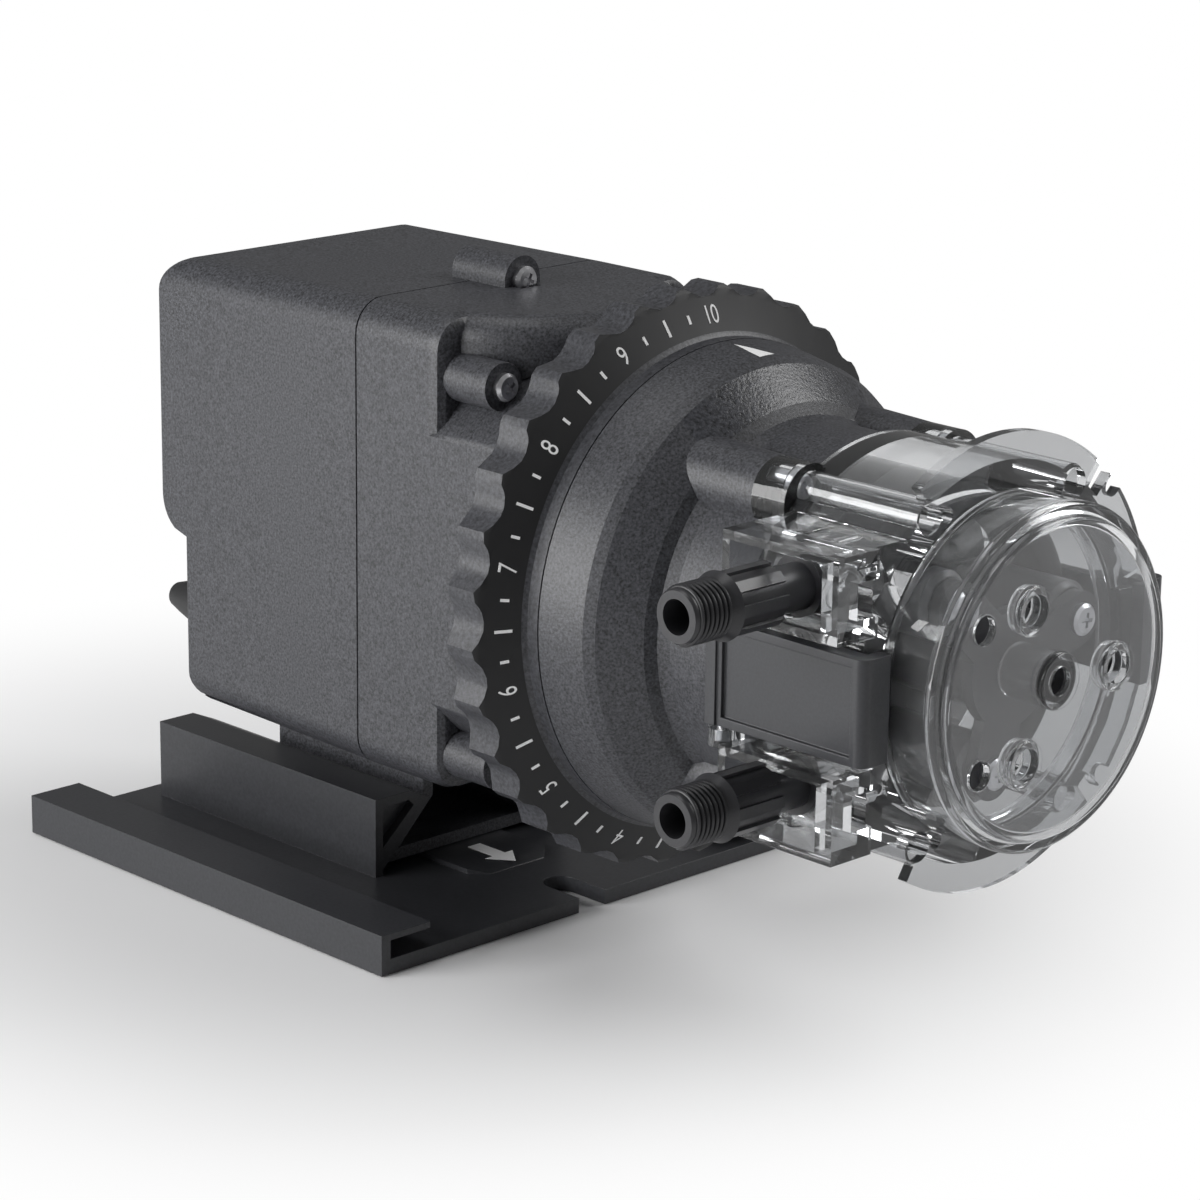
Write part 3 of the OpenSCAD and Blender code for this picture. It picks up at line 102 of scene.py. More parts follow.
# Light: a pale floor that fades to white, a dim dome, a large soft panel on the left and two smaller ones
studio = {"floor": (0.9, 0.9, 0.905), "floorRough": 0.6, "floorSide": 6, "floorDrop": 0.0002, "dome": 0.2,
          "fade": (0.08, 0.24), "aim": (0, -0.06, 0.08)}
panels = {"keyPanel": {"place": (-1.02, 0.32, 0.32), "size": (0.8, 0.7), "power": 13.5},
          "topPanel": {"place": (-0.15, 0.1, 1.25), "size": (0.7, 0.5), "power": 3},
          "frontPanel": {"place": (0.8, -0.55, 0.8), "size": (0.6, 0.5), "power": 6}}


def addPanel(name, d):
    data = bpy.data.lights.new(name, "AREA")
    data.shape, data.energy = "RECTANGLE", d["power"]
    data.size, data.size_y = d["size"]
    lamp = bpy.data.objects.new(name, data)
    aim = Vector(studio["aim"]) - Vector(d["place"])
    lamp.matrix_world = Matrix.Translation(d["place"]) @ aim.to_track_quat("-Z", "Y").to_matrix().to_4x4()
    bpy.context.scene.collection.objects.link(lamp)


def floorPaint(s):
    paint = bpy.data.materials.new("paleFloor")
    paint.use_nodes = True
    nodes, links = paint.node_tree.nodes, paint.node_tree.links
    shader = nodes["Principled BSDF"]
    shader.inputs["Base Color"].default_value = (*s["floor"], 1)
    shader.inputs["Roughness"].default_value = s["floorRough"]
    kinds = ("Emission", "MixShader", "TexCoord", "VectorMath", "MapRange", "LightPath", "Math")
    white, mix, where, reach, fade, ray, share = (nodes.new("ShaderNode" + kind) for kind in kinds)
    reach.operation, share.operation, fade.interpolation_type = "LENGTH", "MULTIPLY", "SMOOTHSTEP"
    fade.inputs["From Min"].default_value, fade.inputs["From Max"].default_value = s["fade"]
    links.new(where.outputs["Object"], reach.inputs[0])
    links.new(reach.outputs["Value"], fade.inputs["Value"])
    links.new(fade.outputs[0], share.inputs[0])
    links.new(ray.outputs["Is Camera Ray"], share.inputs[1])
    links.new(share.outputs[0], mix.inputs[0])
    links.new(shader.outputs[0], mix.inputs[1])
    links.new(white.outputs[0], mix.inputs[2])
    links.new(mix.outputs[0], nodes["Material Output"].inputs["Surface"])
    return paint


def addStudio(s):
    world = bpy.data.worlds.new("dome")
    bpy.context.scene.world = world
    world.use_nodes = True
    nodes, links = world.node_tree.nodes, world.node_tree.links
    plain, seen = nodes["Background"], nodes.new("ShaderNodeBackground")
    plain.inputs["Color"].default_value = (1, 1, 1, 1)
    plain.inputs["Strength"].default_value = s["dome"]
    seen.inputs["Color"].default_value = (1, 1, 1, 1)
    ray, mix = nodes.new("ShaderNodeLightPath"), nodes.new("ShaderNodeMixShader")
    either = nodes.new("ShaderNodeMath")
    either.operation = "MAXIMUM"
    links.new(ray.outputs["Is Camera Ray"], either.inputs[0])
    links.new(ray.outputs["Is Transmission Ray"], either.inputs[1])
    links.new(either.outputs[0], mix.inputs[0])
    links.new(plain.outputs[0], mix.inputs[1])
    links.new(seen.outputs[0], mix.inputs[2])
    links.new(mix.outputs[0], nodes["World Output"].inputs["Surface"])
    for name, panel in panels.items():
        addPanel(name, panel)
    bpy.ops.mesh.primitive_plane_add(size=s["floorSide"], location=(0, 0, cadSize[0][2] - s["floorDrop"]))
    floor = bpy.context.object
    floor.name = "floor"
    floor.data.materials.append(floorPaint(s))
    bpy.context.scene.view_settings.view_transform = "Standard"


addStudio(studio)
print("studio lit")


# Finishes: moulded plastic has a fine grain that also flecks its colour
grains = {"scale": 1000, "detail": 3, "rough": 0.6, "height": 0.15, "spread": (0.3, 0.7), "fleck": 0.9,
          "fleckRise": 1.5}


def finish(name, colour, roughness, grain=0.0, grainSize=1.0, metallic=0.0, transmission=0.0, ior=1.5):
    m = bpy.data.materials.new(name)
    m.use_nodes = True
    nodes, links = m.node_tree.nodes, m.node_tree.links
    shader = nodes["Principled BSDF"]
    shader.inputs["Base Color"].default_value = (*colour, 1)
    shader.inputs["Roughness"].default_value = roughness
    shader.inputs["Metallic"].default_value = metallic
    shader.inputs["Transmission Weight"].default_value = transmission
    shader.inputs["IOR"].default_value = ior
    if grain:
        where, noise, bump = (nodes.new("ShaderNode" + k) for k in ("TexCoord", "TexNoise", "Bump"))
        noise.inputs["Scale"].default_value = grains["scale"] / grainSize
        noise.inputs["Detail"].default_value = grains["detail"]
        noise.inputs["Roughness"].default_value = grains["rough"]
        bump.inputs["Strength"].default_value = grain
        bump.inputs["Distance"].default_value = grains["height"] * mm * grainSize
        links.new(where.outputs["Object"], noise.inputs["Vector"])
        links.new(noise.outputs["Fac"], bump.inputs["Height"])
        links.new(bump.outputs["Normal"], shader.inputs["Normal"])
        fleck, tint = nodes.new("ShaderNodeMapRange"), nodes.new("ShaderNodeVectorMath")
        fleck.inputs["From Min"].default_value, fleck.inputs["From Max"].default_value = grains["spread"]
        depth = grains["fleck"] * min(1, grains["fleckRise"] * grain)
        fleck.inputs["To Min"].default_value, fleck.inputs["To Max"].default_value = 1 - depth, 1 + depth
        tint.operation = "SCALE"
        tint.inputs[0].default_value = colour
        links.new(noise.outputs["Fac"], fleck.inputs["Value"])
        links.new(fleck.outputs[0], tint.inputs["Scale"])
        links.new(tint.outputs[0], shader.inputs["Base Color"])
    return m


finishes = {
    "bracket_plastic": finish("bracketBlack", (0.033, 0.034, 0.038), 0.36, 0.15, 0.8),
    "case_plastic": finish("caseCharcoal", (0.045, 0.046, 0.052), 0.44, 0.6, 0.6),
    "dial_plastic": finish("dialBlack", (0.043, 0.044, 0.05), 0.42, 0.45, 0.8),
    "latch_plastic": finish("latchBlack", (0.035, 0.036, 0.04), 0.32, 0.1, 0.6),
    "fitting_plastic": finish("fittingBlack", (0.028, 0.028, 0.031), 0.34, 0.08, 0.5),
    "clear_plastic": finish("clearPlastic", (0.7, 0.71, 0.72), 0.015, transmission=0.97, ior=1.49),
    "zinc_screw": finish("zincScrew", (0.62, 0.62, 0.64), 0.28, metallic=1.0),
    "bright_steel": finish("groundSteel", (0.68, 0.69, 0.71), 0.25, metallic=1.0),
    "sheet_steel": finish("sheetSteel", (0.5, 0.51, 0.53), 0.4, metallic=1.0),
    "core_steel": finish("coreSteel", (0.25, 0.26, 0.28), 0.5, metallic=0.8),
    "copper_wire": finish("enamelledCopper", (0.55, 0.24, 0.1), 0.35, metallic=0.8),
    "bobbin_plastic": finish("bobbinNylon", (0.8, 0.77, 0.68), 0.45),
    "gear_plastic": finish("gearAcetal", (0.78, 0.74, 0.62), 0.4),
    "pinion_brass": finish("pinionBrass", (0.7, 0.55, 0.25), 0.3, metallic=1.0),
    "bushing_bronze": finish("bushingBronze", (0.5, 0.34, 0.16), 0.4, metallic=1.0),
    "fan_plastic": finish("fanNylon", (0.08, 0.085, 0.09), 0.5),
    "rotor_plastic": finish("rollerHubBlack", (0.02, 0.02, 0.023), 0.4),
    "roller_plastic": finish("rollerAcetal", (0.06, 0.06, 0.065), 0.35),
    "tube_rubber": finish("tubeRubber", (0.045, 0.045, 0.047), 0.55),
    "seal_rubber": finish("sealRubber", (0.015, 0.015, 0.016), 0.5),
}
markWhite = finish("markWhite", (0.93, 0.93, 0.93), 0.5)
scaleBlack = finish("scaleBlack", (0.008, 0.008, 0.009), 0.55)
# The flow arrow's dark colour is painted shade: the moulded ridge is clear plastic that only looks dark
flowArrowShade = finish("arrowPaintedShade", (0.05, 0.05, 0.055), 0.3)
# A lighter, less clear copy of the clear plastic for the head cover: painted reflection that brightens the
# cover face
coverClearPaintedReflection = finish("coverClearPaintedReflection", (0.82, 0.83, 0.84), 0.012, transmission=0.95, ior=1.49)
shoulderGrain = finish("shoulderGrain", (0.036, 0.037, 0.043), 0.3, 1.0, 0.85)
slotOf = {s["node"]: s["material_slot"] for s in frame["record"]["subparts"]}
bodyOf = {n: b for b, names in frame["record"]["behaviour"]["bodies"].items() for n in names}

for node, obj in frame["nodes"].items():
    obj.data.materials.clear()
    obj.data.materials.append(finishes[slotOf[node]])
print("finishes on all nodes")


# The moulded pieces get softened edges (width in mm) and smooth curves
edges = {"motor_housing": 0.18, "gear_case": 0.25, "dial_base": 0.3, "feed_housing": 0.7, "feed_dial": 0.3,
         "tube_housing": 0.3, "head_cover": 0.3, "left_latch": 0.35, "right_latch": 0.35,
         "mounting_bracket": 0.3, "main_shaft": 0, "pump_tube": 0, "cord_gland": 0.3, "roller_a": 0.2,
         "roller_b": 0.2, "roller_c": 0.2, "front_roller_plate": 0.4, "rear_roller_plate": 0.4,
         "neck_bushing": 0, "cover_bushing": 0, "roller_pins": 0, "latch_pins": 0}


# Angles from which an edge stays sharp, and from which it is softened
creases = {"usual": (28, 40), "feed_housing": (14.5, 14.5)}
weld, flatAngle = 1e-6, 0.4


def softMesh(node, width, reshape=None):
    work = bmesh.new()
    work.from_mesh(frame["nodes"][node].data)
    bmesh.ops.remove_doubles(work, verts=work.verts, dist=weld)
    bmesh.ops.dissolve_limit(work, angle_limit=math.radians(flatAngle), verts=work.verts, edges=work.edges)
    if reshape:
        reshape(work)
    sharp, softened = creases.get(node, creases["usual"])
    for face in work.faces:
        face.smooth = True
    for edge in work.edges:
        edge.smooth = not (edge.is_manifold and edge.calc_face_angle(0) > math.radians(sharp))
    mesh = bpy.data.meshes.new(node + "_look")
    work.to_mesh(mesh)
    work.free()
    mesh.materials.append(finishes[slotOf[node]])
    piece = bpy.data.objects.new(node + "_soft", mesh)
    bpy.context.scene.collection.objects.link(piece)
    if width:
        bevel = piece.modifiers.new("edge", "BEVEL")
        bevel.width, bevel.segments, bevel.limit_method = width * mm, 2, "ANGLE"
        bevel.angle_limit, bevel.use_clamp_overlap = math.radians(softened), True
    weigh = piece.modifiers.new("flats", "WEIGHTED_NORMAL")
    weigh.keep_sharp = not width
    return baked(piece)


def baked(piece):
    graph = bpy.context.evaluated_depsgraph_get()
    mesh = bpy.data.meshes.new_from_object(piece.evaluated_get(graph))
    bpy.data.objects.remove(piece)
    return mesh


def replace(node, mesh):
    piece = bpy.data.objects.new(node + "_look", mesh)
    bpy.context.scene.collection.objects.link(piece)
    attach(piece, bodyOf[node])
    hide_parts(node)
    return piece


# The back of the case: upright edges are crisp, and the step under the upper block is round
caseBack = {"core": 31.7, "top": 49.2, "low": -44.2, "round": 8.0, "crisp": 1.2, "slack": 0.45,
            "upper": 68.5, "lower": 59.5, "shelf": (-7.0, -3.0), "arc": (-10.2, 0.0), "bulge": 2.2,
            "cuts": 12}
edgeReach, tangentReach = 0.02, 0.01


def slopedBack(y, d):
    share = min(max((y - d["shelf"][0]) / (d["shelf"][1] - d["shelf"][0]), 0), 1)
    return d["lower"] + share * (d["upper"] - d["lower"])


def roundBack(y, d):
    if y < d["arc"][0]:
        return d["lower"]
    share = min(max((d["arc"][1] - y) / (d["arc"][1] - d["arc"][0]), 0), 1)
    return d["lower"] + (d["upper"] - d["lower"]) * math.sqrt(1 - share ** d["bulge"])


def crispBack(work):
    d = caseBack
    for k in range(d["cuts"] + 1):
        y = d["arc"][0] + (d["arc"][1] - d["arc"][0]) * math.sin(math.radians(90 * k / d["cuts"]))
        bmesh.ops.bisect_plane(work, geom=work.verts[:] + work.edges[:] + work.faces[:],
                               plane_co=pumpFrame @ (Vector((0, y, 0)) * mm), plane_no=(0, 0, 1))
    for vert in work.verts:
        x, y, f = (c / mm for c in toPump @ vert.co)
        core = slopedBack(y, d)
        dx, dy, dz = max(abs(x) - d["core"], 0), max(y - d["top"], d["low"] - y, 0), -f - core
        if dz < -tangentReach or abs(math.sqrt(dx * dx + dy * dy + dz * dz) - d["round"]) > d["slack"]:
            continue
        reach = math.hypot(dx, dz)
        if abs(x) > d["core"] - edgeReach and reach > d["crisp"]:
            turn = math.atan2(dz, dx)
            dx = reach - d["crisp"] + d["crisp"] * math.cos(turn)
            dz = reach - d["crisp"] + d["crisp"] * math.sin(turn)
            x = math.copysign(d["core"] + dx, x)
        vert.co = pumpFrame @ (Vector((x, y, -(roundBack(y, d) + dz))) * mm)


# The gland runs out into a slimmer nose than the node has
glandNose = {"from": 41.0, "stretch": 2.0, "slim": 0.56}


def longGland(work):
    d = glandNose
    small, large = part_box("cord_gland")
    axis, end = (small + large) / 2, large.y / mm
    for vert in work.verts:
        past = vert.co.y / mm - d["from"]
        if past > 0:
            share = min(past / (end - d["from"]), 1)
            slim = 1 - (1 - d["slim"]) * share
            vert.co = Vector((axis.x + (vert.co.x - axis.x) * slim, (d["from"] + past * d["stretch"]) * mm,
                              axis.z + (vert.co.z - axis.z) * slim))


reshapes = {"motor_housing": crispBack, "cord_gland": longGland}
looks = {node: replace(node, softMesh(node, width, reshapes.get(node))) for node, width in edges.items()}
# The head cover takes the lighter clear copy, a painted reflection
looks["head_cover"].data.materials[0] = coverClearPaintedReflection
print("moulded pieces softened")


# Forward-facing faces of the dial, from the collar to the edge of the scallops, are coloured near black
scaleFace = {"inner": 56.6, "outer": 67.0, "facing": 0.45}


def paintScale(piece, d):
    piece.data.materials.append(scaleBlack)
    for face in piece.data.polygons:
        spot = toPump @ face.center
        ring = math.hypot(spot.x, spot.y) / mm
        if d["inner"] < ring < d["outer"] and -face.normal.y > d["facing"]:
            face.material_index = 1


paintScale(looks["feed_dial"], scaleFace)


# The shoulder between the two upper bosses is coarsely textured
shoulder = {"inner": 45.2, "outer": 52.8, "from": 57, "to": 123, "facing": (0.45, 0.9)}


def paintShoulder(piece, d):
    piece.data.materials.append(shoulderGrain)
    for face in piece.data.polygons:
        spot = toPump @ face.center
        ring, angle = math.hypot(spot.x, spot.y) / mm, math.degrees(math.atan2(spot.y, spot.x))
        if d["inner"] < ring < d["outer"] and d["from"] < angle < d["to"]:
            if d["facing"][0] < -face.normal.y < d["facing"][1]:
                face.material_index = 1


paintShoulder(looks["feed_housing"], shoulder)


# Finished meshes go into the scene through one door
def place(mesh, name, body, slotName, paint):
    mesh.materials.clear()
    mesh.materials.append(paint)
    piece = bpy.data.objects.new(name, mesh)
    bpy.context.scene.collection.objects.link(piece)
    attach(piece, body)
    return piece


def meshOf(work, name):
    mesh = bpy.data.meshes.new(name)
    work.normal_update()
    work.to_mesh(mesh)
    work.free()
    return mesh


# Numbers on the cone of the dial, with three ticks between each two
dialScale = {"first": 88.6, "step": 26.2, "ring": 60.2, "numbers": 10, "digit": 4.1, "fullSize": 1.35,
             "spacing": 0.95, "thin": -0.03, "narrow": 0.85, "rise": 0.05, "coneRadius": (56.6, 63.9),
             "coneFront": (70.1, 66.5), "ticks": 41, "perStep": 4, "shortTick": 2.0, "longTick": 4.0,
             "tickWidth": 0.66, "tickThick": 0.12, "tickLift": 0.04}


def onCone(across, out, lift, angle, d):
    radius = d["ring"] + out
    share = (radius - d["coneRadius"][0]) / (d["coneRadius"][1] - d["coneRadius"][0])
    f = d["coneFront"][0] + share * (d["coneFront"][1] - d["coneFront"][0]) + lift
    turn = math.radians(angle) - across / d["ring"]
    return pumpFrame @ (Vector((radius * math.cos(turn), radius * math.sin(turn), f)) * mm)


def addNumbers(d):
    work = bmesh.new()
    for k in range(d["numbers"]):
        curve = bpy.data.curves.new("number", "FONT")
        curve.body, curve.size = str(d["numbers"] - k), d["digit"] * d["fullSize"]
        curve.align_x, curve.align_y = "CENTER", "CENTER"
        curve.space_character, curve.offset, curve.extrude = d["spacing"], d["thin"], d["rise"]
        text = bpy.data.objects.new("number", curve)
        bpy.context.scene.collection.objects.link(text)
        mesh = baked(text)
        for v in mesh.vertices:
            v.co = onCone(v.co.x * d["narrow"], v.co.y, v.co.z + d["rise"], d["first"] + k * d["step"], d)
        work.from_mesh(mesh)
    bmesh.ops.recalc_face_normals(work, faces=work.faces)
    place(meshOf(work, "dialNumbers"), "dialNumbers", "dial", "dial_plastic", markWhite)


addNumbers(dialScale)


# Ticks between the numbers: one tree turns a bar round the dial
def newTree(name, inputs):
    tree = bpy.data.node_groups.new(name, "GeometryNodeTree")
    tree.interface.new_socket("Geometry", in_out="INPUT", socket_type="NodeSocketGeometry")
    tree.interface.new_socket("Geometry", in_out="OUTPUT", socket_type="NodeSocketGeometry")
    for label, kind in inputs:
        tree.interface.new_socket(label, in_out="INPUT", socket_type="NodeSocket" + kind)
    return tree, tree.nodes.new("NodeGroupInput"), tree.nodes.new("NodeGroupOutput")


def runTree(tree, mesh, name, values):
    carrier = bpy.data.objects.new(name, mesh)
    bpy.context.scene.collection.objects.link(carrier)
    mod = carrier.modifiers.new("build", "NODES")
    mod.node_group = tree
    for item in tree.interface.items_tree:
        if item.in_out == "INPUT" and item.name in values:
            mod[item.identifier] = values[item.name]
    return baked(carrier)


def addNode(tree, kind, settings=None, **inputs):
    made = tree.nodes.new(kind)
    for key, value in (settings or {}).items():
        setattr(made, key, value)
    for key, value in inputs.items():
        socket = made.inputs[key.replace("_", " ")]
        if isinstance(value, bpy.types.NodeSocket):
            tree.links.new(value, socket)
        else:
            socket.default_value = value
    return made


def tickTree(perStep):
    tree, given, made = newTree("dialTicks", [("Count", "Int"), ("First", "Float"), ("Step", "Float"),
        ("Ring", "Float"), ("Front", "Float"), ("Tilt", "Float"), ("Width", "Float"), ("Thick", "Float"),
        ("Short", "Float"), ("Long", "Float"), ("Paint", "Material")])
    g = given.outputs
    mathNode = "ShaderNodeMath"
    index = addNode(tree, "GeometryNodeInputIndex").outputs[0]
    angle = addNode(tree, mathNode, {"operation": "MULTIPLY_ADD"})
    for k, value in enumerate((index, g["Step"], g["First"])):
        tree.links.new(value, angle.inputs[k])
    turn = addNode(tree, "ShaderNodeCombineXYZ", Z=angle.outputs[0])
    flat = addNode(tree, "ShaderNodeCombineXYZ", X=g["Ring"], Z=g["Front"])
    spot = addNode(tree, "ShaderNodeVectorRotate", {"rotation_type": "Z_AXIS"}, Vector=flat.outputs[0])
    tree.links.new(angle.outputs[0], spot.inputs["Angle"])
    points = addNode(tree, "GeometryNodePoints", Count=g["Count"], Position=spot.outputs[0])

    def every(n):
        rest = addNode(tree, mathNode, {"operation": "MODULO"})
        tree.links.new(index, rest.inputs[0])
        rest.inputs[1].default_value = n
        none = addNode(tree, "FunctionNodeCompare", {"operation": "EQUAL"})
        tree.links.new(rest.outputs[0], none.inputs[0])
        none.inputs[1].default_value = 0
        return none.outputs[0]

    long = addNode(tree, "GeometryNodeSwitch", {"input_type": "FLOAT"})
    tree.links.new(every(2), long.inputs["Switch"])
    tree.links.new(g["Short"], long.inputs["False"])
    tree.links.new(g["Long"], long.inputs["True"])
    size = addNode(tree, "ShaderNodeCombineXYZ", X=long.outputs[0], Y=g["Width"], Z=g["Thick"])
    bar = addNode(tree, "GeometryNodeMeshCube")
    lean = addNode(tree, "ShaderNodeCombineXYZ", Y=g["Tilt"])
    bar.inputs["Size"].default_value = (1, 1, 1)
    leaned = addNode(tree, "FunctionNodeEulerToRotation", Euler=lean.outputs[0])
    around = addNode(tree, "FunctionNodeEulerToRotation", Euler=turn.outputs[0])
    both = addNode(tree, "FunctionNodeRotateRotation", {"rotation_space": "LOCAL"})
    tree.links.new(around.outputs[0], both.inputs[0])
    tree.links.new(leaned.outputs[0], both.inputs[1])
    keep = addNode(tree, "FunctionNodeBooleanMath", {"operation": "NOT"})
    tree.links.new(every(perStep), keep.inputs[0])
    laid = addNode(tree, "GeometryNodeInstanceOnPoints", Points=points.outputs[0],
                   Instance=bar.outputs["Mesh"], Selection=keep.outputs[0], Rotation=both.outputs[0],
                   Scale=size.outputs[0])
    real = addNode(tree, "GeometryNodeRealizeInstances", Geometry=laid.outputs[0])
    painted = addNode(tree, "GeometryNodeSetMaterial", Geometry=real.outputs[0], Material=g["Paint"])
    tree.links.new(painted.outputs[0], made.inputs[0])
    return tree


def addTicks(d):
    share = (d["ring"] - d["coneRadius"][0]) / (d["coneRadius"][1] - d["coneRadius"][0])
    slope = (d["coneFront"][0] - d["coneFront"][1]) / (d["coneRadius"][1] - d["coneRadius"][0])
    front = d["coneFront"][0] + share * (d["coneFront"][1] - d["coneFront"][0]) + d["tickLift"]
    mesh = runTree(tickTree(d["perStep"]), bpy.data.meshes.new("tickSeed"), "dialTicks", {
        "Count": d["ticks"], "First": math.radians(d["first"]),
        "Step": math.radians(d["step"] / d["perStep"]),
        "Ring": d["ring"] * mm, "Front": front * mm, "Tilt": math.atan(slope), "Width": d["tickWidth"] * mm,
        "Thick": d["tickThick"] * mm, "Short": d["shortTick"] * mm, "Long": d["longTick"] * mm,
        "Paint": markWhite})
    mesh.transform(pumpFrame)
    place(mesh, "dialTicks", "dial", "dial_plastic", markWhite)


addTicks(dialScale)
print("dial marked")


# Screws in view: a cross recess is cut into each head
recess = {"across": 3.3, "blade": 0.85, "deep": 1.0, "turn": 24,
          "nodes": ("case_screws", "base_screws", "head_screws", "roller_screws")}


def headPlaces(node):
    work = bmesh.new()
    work.from_mesh(frame["nodes"][node].data)
    bmesh.ops.remove_doubles(work, verts=work.verts, dist=weld)
    waiting, places = set(work.verts), []
    while waiting:
        reach, group = [waiting.pop()], []
        while reach:
            vert = reach.pop()
            group.append(vert.co.copy())
            near = {e.other_vert(vert) for e in vert.link_edges} & waiting
            waiting -= near
            reach += near
        spans = [(min(c[k] for c in group), max(c[k] for c in group)) for k in range(3)]
        places.append(((spans[0][0] + spans[0][1]) / 2, spans[1][0], (spans[2][0] + spans[2][1]) / 2))
    work.free()
    return places


def recessTree():
    tree, given, made = newTree("crossRecess", [("Screws", "Object"), ("Across", "Float"), ("Blade", "Float"),
        ("Deep", "Float"), ("Turn", "Vector"), ("Paint", "Material")])
    g = given.outputs
    twice = addNode(tree, "ShaderNodeMath", {"operation": "MULTIPLY"})
    tree.links.new(g["Deep"], twice.inputs[0])
    twice.inputs[1].default_value = 2
    screws = addNode(tree, "GeometryNodeObjectInfo", Object=g["Screws"])
    cut = addNode(tree, "GeometryNodeMeshBoolean", {"operation": "DIFFERENCE", "solver": "EXACT"})
    tree.links.new(screws.outputs["Geometry"], cut.inputs["Mesh 1"])
    lean = addNode(tree, "FunctionNodeEulerToRotation", Euler=g["Turn"])
    for wide, narrow in (("X", "Z"), ("Z", "X")):
        sides = {wide: g["Across"], narrow: g["Blade"]}
        size = addNode(tree, "ShaderNodeCombineXYZ", Y=twice.outputs[0], **sides)
        bar = addNode(tree, "GeometryNodeMeshCube", Size=size.outputs[0])
        laid = addNode(tree, "GeometryNodeInstanceOnPoints", Points=g["Geometry"],
                       Instance=bar.outputs["Mesh"], Rotation=lean.outputs[0])
        real = addNode(tree, "GeometryNodeRealizeInstances", Geometry=laid.outputs[0])
        tree.links.new(real.outputs[0], cut.inputs["Mesh 2"])
    painted = addNode(tree, "GeometryNodeSetMaterial", Geometry=cut.outputs["Mesh"], Material=g["Paint"])
    tree.links.new(painted.outputs[0], made.inputs[0])
    return tree


def addRecesses(d):
    tree = recessTree()
    for k, screws in enumerate(d["nodes"]):
        seeds = bpy.data.meshes.new("headPlaces")
        seeds.from_pydata(headPlaces(screws), [], [])
        blank = bpy.data.objects.new("screwBlank", softMesh(screws, 0))
        bpy.context.scene.collection.objects.link(blank)
        mesh = runTree(tree, seeds, screws, {
            "Screws": blank, "Across": d["across"] * mm, "Blade": d["blade"] * mm, "Deep": d["deep"] * mm,
            "Turn": (0, math.radians(d["turn"] * (k + 1)), 0), "Paint": finishes[slotOf[screws]]})
        bpy.data.objects.remove(blank)
        replace(screws, mesh)


addRecesses(recess)
print("screw heads cut")


# Fittings: the thread is a ridge wound round a smaller core
thread = {"pitch": 1.3, "crest": 6.38, "core": 5.75, "lip": 1.3, "length": 8.6, "sharp": 0.85,
          "turnPoints": 40, "sides": 4}


def threadTree(turnPoints, sides):
    tree, given, made = newTree("threadRidge", [("Pitch", "Float"), ("Radius", "Float"), ("Ridge", "Float"),
        ("Length", "Float"), ("Paint", "Material")])
    g = given.outputs
    turns = addNode(tree, "ShaderNodeMath", {"operation": "DIVIDE"})
    tree.links.new(g["Length"], turns.inputs[0])
    tree.links.new(g["Pitch"], turns.inputs[1])
    path = addNode(tree, "GeometryNodeCurveSpiral", Resolution=turnPoints, Rotations=turns.outputs[0],
                   Start_Radius=g["Radius"], End_Radius=g["Radius"], Height=g["Length"])
    upright = addNode(tree, "GeometryNodeSetCurveNormal", {"mode": "Z_UP"}, Curve=path.outputs[0])
    shape = addNode(tree, "GeometryNodeCurvePrimitiveCircle", Resolution=sides, Radius=g["Ridge"])
    ridge = addNode(tree, "GeometryNodeCurveToMesh", Curve=upright.outputs[0],
                    Profile_Curve=shape.outputs[0], Fill_Caps=True)
    painted = addNode(tree, "GeometryNodeSetMaterial", Geometry=ridge.outputs[0], Material=g["Paint"])
    tree.links.new(painted.outputs[0], made.inputs[0])
    return tree


def addThreads(d):
    tree = threadTree(d["turnPoints"], d["sides"])
    for fitting in ("upper_fitting", "lower_fitting"):
        small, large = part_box(fitting)
        tip, axis = small.x, (small + large) / 2
        ridge = (d["crest"] - d["core"]) * d["sharp"]
        wound = runTree(tree, bpy.data.meshes.new("threadSeed"), "threadRidge", {
            "Pitch": d["pitch"] * mm, "Radius": (d["crest"] - ridge) * mm, "Ridge": ridge * mm,
            "Length": d["length"] * mm, "Paint": finishes[slotOf[fitting]]})
        start = Matrix.Translation((tip + d["lip"] * mm, axis.y, axis.z))
        wound.transform(start @ Matrix.Rotation(math.radians(90), 4, "Y"))
        work = bmesh.new()
        work.from_mesh(softMesh(fitting, 0))
        for vert in work.verts:
            side = Vector((0, vert.co.y - axis.y, vert.co.z - axis.z))
            if vert.co.x < tip + (d["length"] + 2 * d["lip"]) * mm and side.length > d["core"] * mm:
                vert.co = Vector((vert.co.x, axis.y, axis.z)) + side.normalized() * d["core"] * mm
        work.from_mesh(wound)
        mesh = meshOf(work, fitting + "_look")
        mesh.materials.clear()
        mesh.materials.append(finishes[slotOf[fitting]])
        replace(fitting, mesh)


addThreads(thread)
print("fittings threaded")


# Arrow on the strip of the bracket, in pump row coordinates
stripArrow = {"tail": -24.5, "neck": -33.5, "tip": -39.5, "shaft": 4.0, "head": 9.0, "lift": 0.06}


def flatPlate(outline, rise, name):
    work = bmesh.new()
    face = work.faces.new([work.verts.new(Vector(p) * mm) for p in outline])
    raised = bmesh.ops.extrude_face_region(work, geom=[face])["geom"]
    top = [v for v in raised if isinstance(v, bmesh.types.BMVert)]
    bmesh.ops.translate(work, verts=top, vec=Vector(rise) * mm)
    bmesh.ops.recalc_face_normals(work, faces=work.faces)
    return meshOf(work, name)


def topAt(piece, x, y):
    spot = piece.ray_cast(Vector((x * mm, y * mm, 1)), Vector((0, 0, -1)))[1]
    return spot.z / mm


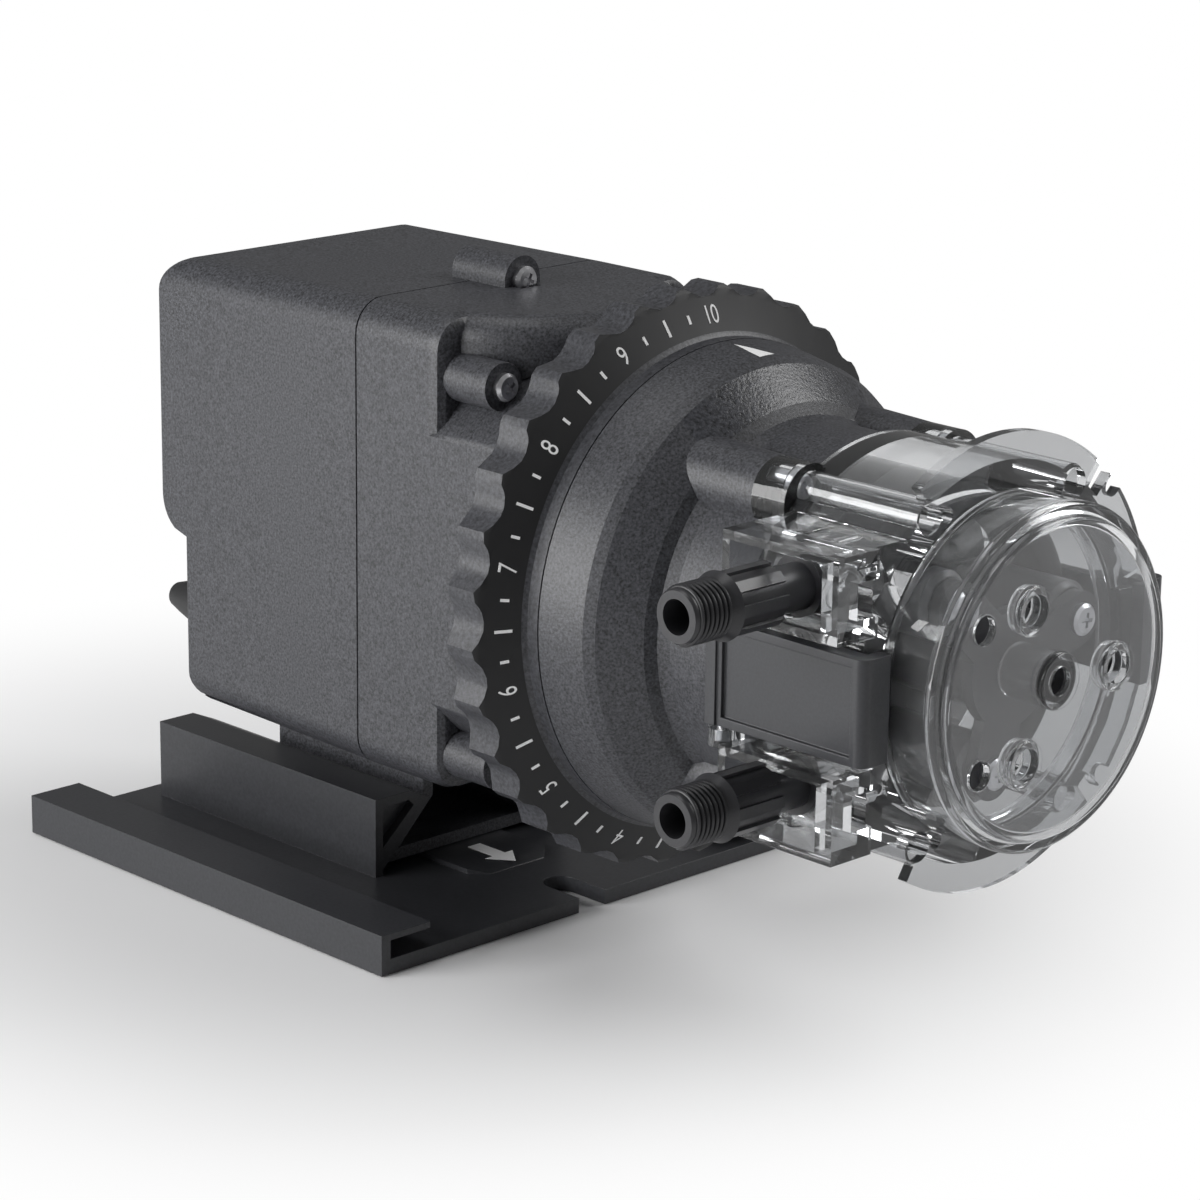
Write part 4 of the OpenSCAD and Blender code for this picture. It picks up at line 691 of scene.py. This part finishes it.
def addStripArrow(d):
    z = topAt(looks["mounting_bracket"], 0, (d["tail"] + d["tip"]) / 2)
    half, wide = d["shaft"] / 2, d["head"] / 2
    outline = [(-half, d["tail"], z), (half, d["tail"], z), (half, d["neck"], z), (wide, d["neck"], z),
               (0, d["tip"], z), (-wide, d["neck"], z), (-half, d["neck"], z)]
    place(flatPlate(outline, (0, 0, d["lift"]), "stripArrow"), "stripArrow", bodyOf["mounting_bracket"],
          "bracket_plastic", markWhite)


addStripArrow(stripArrow)


# Pointer on the neck, beside the number that is set
pointer = {"apex": (90.0, 76.8), "base": ((85.2, 84.8), (90.5, 85.2)), "steps": 6, "lift": 0.05,
           "outside": 90}


def onNeck(angle, f, d):
    turn = math.radians(angle)
    out = Vector((math.cos(turn), math.sin(turn), 0))
    start = pumpFrame @ ((out * d["outside"] + Vector((0, 0, f))) * mm)
    aim = pumpFrame.to_3x3() @ -out
    spot = looks["feed_housing"].ray_cast(start, aim)[1]
    return spot - aim * d["lift"] * mm


def addPointer(d):
    work, rows = bmesh.new(), []
    for i in range(d["steps"] + 1):
        share = i / d["steps"]
        ends = [tuple(d["apex"][k] + share * (b[k] - d["apex"][k]) for k in (0, 1)) for b in d["base"]]
        spots = [[ends[0][k] + (j / max(i, 1)) * (ends[1][k] - ends[0][k]) for k in (0, 1)]
                 for j in range(i + 1)]
        rows.append([work.verts.new(onNeck(a, f, d)) for a, f in spots])
    for short, long in zip(rows, rows[1:]):
        for j in range(len(short)):
            work.faces.new((short[j], long[j], long[j + 1]))
            if j:
                work.faces.new((short[j - 1], long[j], short[j]))
    bmesh.ops.recalc_face_normals(work, faces=work.faces)
    place(meshOf(work, "pointer"), "pointer", bodyOf["feed_housing"], slotOf["feed_housing"], markWhite)


addPointer(pointer)


# Thin flow arrow moulded on the front strip of the upper channel; its dark colour is painted shade standing
# in for the dark lines the clear ridge shows
flowArrow = {"from": -40.2, "to": -46.2, "height": 29.2, "wing": 1.7, "line": 0.35, "lift": 0.08}


def addFlowArrow(d):
    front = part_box("tube_housing")[0].y / mm
    f = seamY / mm - front
    work = bmesh.new()
    tip, wing = (d["to"], d["height"]), d["wing"]
    lines = [((d["from"], d["height"]), tip), (tip, (tip[0] + wing, tip[1] + wing)),
             (tip, (tip[0] + wing, tip[1] - wing))]
    for (x0, y0), (x1, y1) in lines:
        long = Vector((x1 - x0, y1 - y0, 0))
        side = Vector((-long.y, long.x, 0)).normalized() * d["line"] / 2
        start, end = Vector((x0, y0, f)), Vector((x1, y1, f))
        ring = [start + side, end + side, end - side, start - side]
        bar = flatPlate([tuple(c) for c in ring], (0, 0, d["lift"]), "flowLine")
        bar.transform(pumpFrame)
        work.from_mesh(bar)
    place(meshOf(work, "flowArrow"), "flowArrow", bodyOf["tube_housing"], "clear_plastic", flowArrowShade)


addFlowArrow(flowArrow)
print("arrows laid")
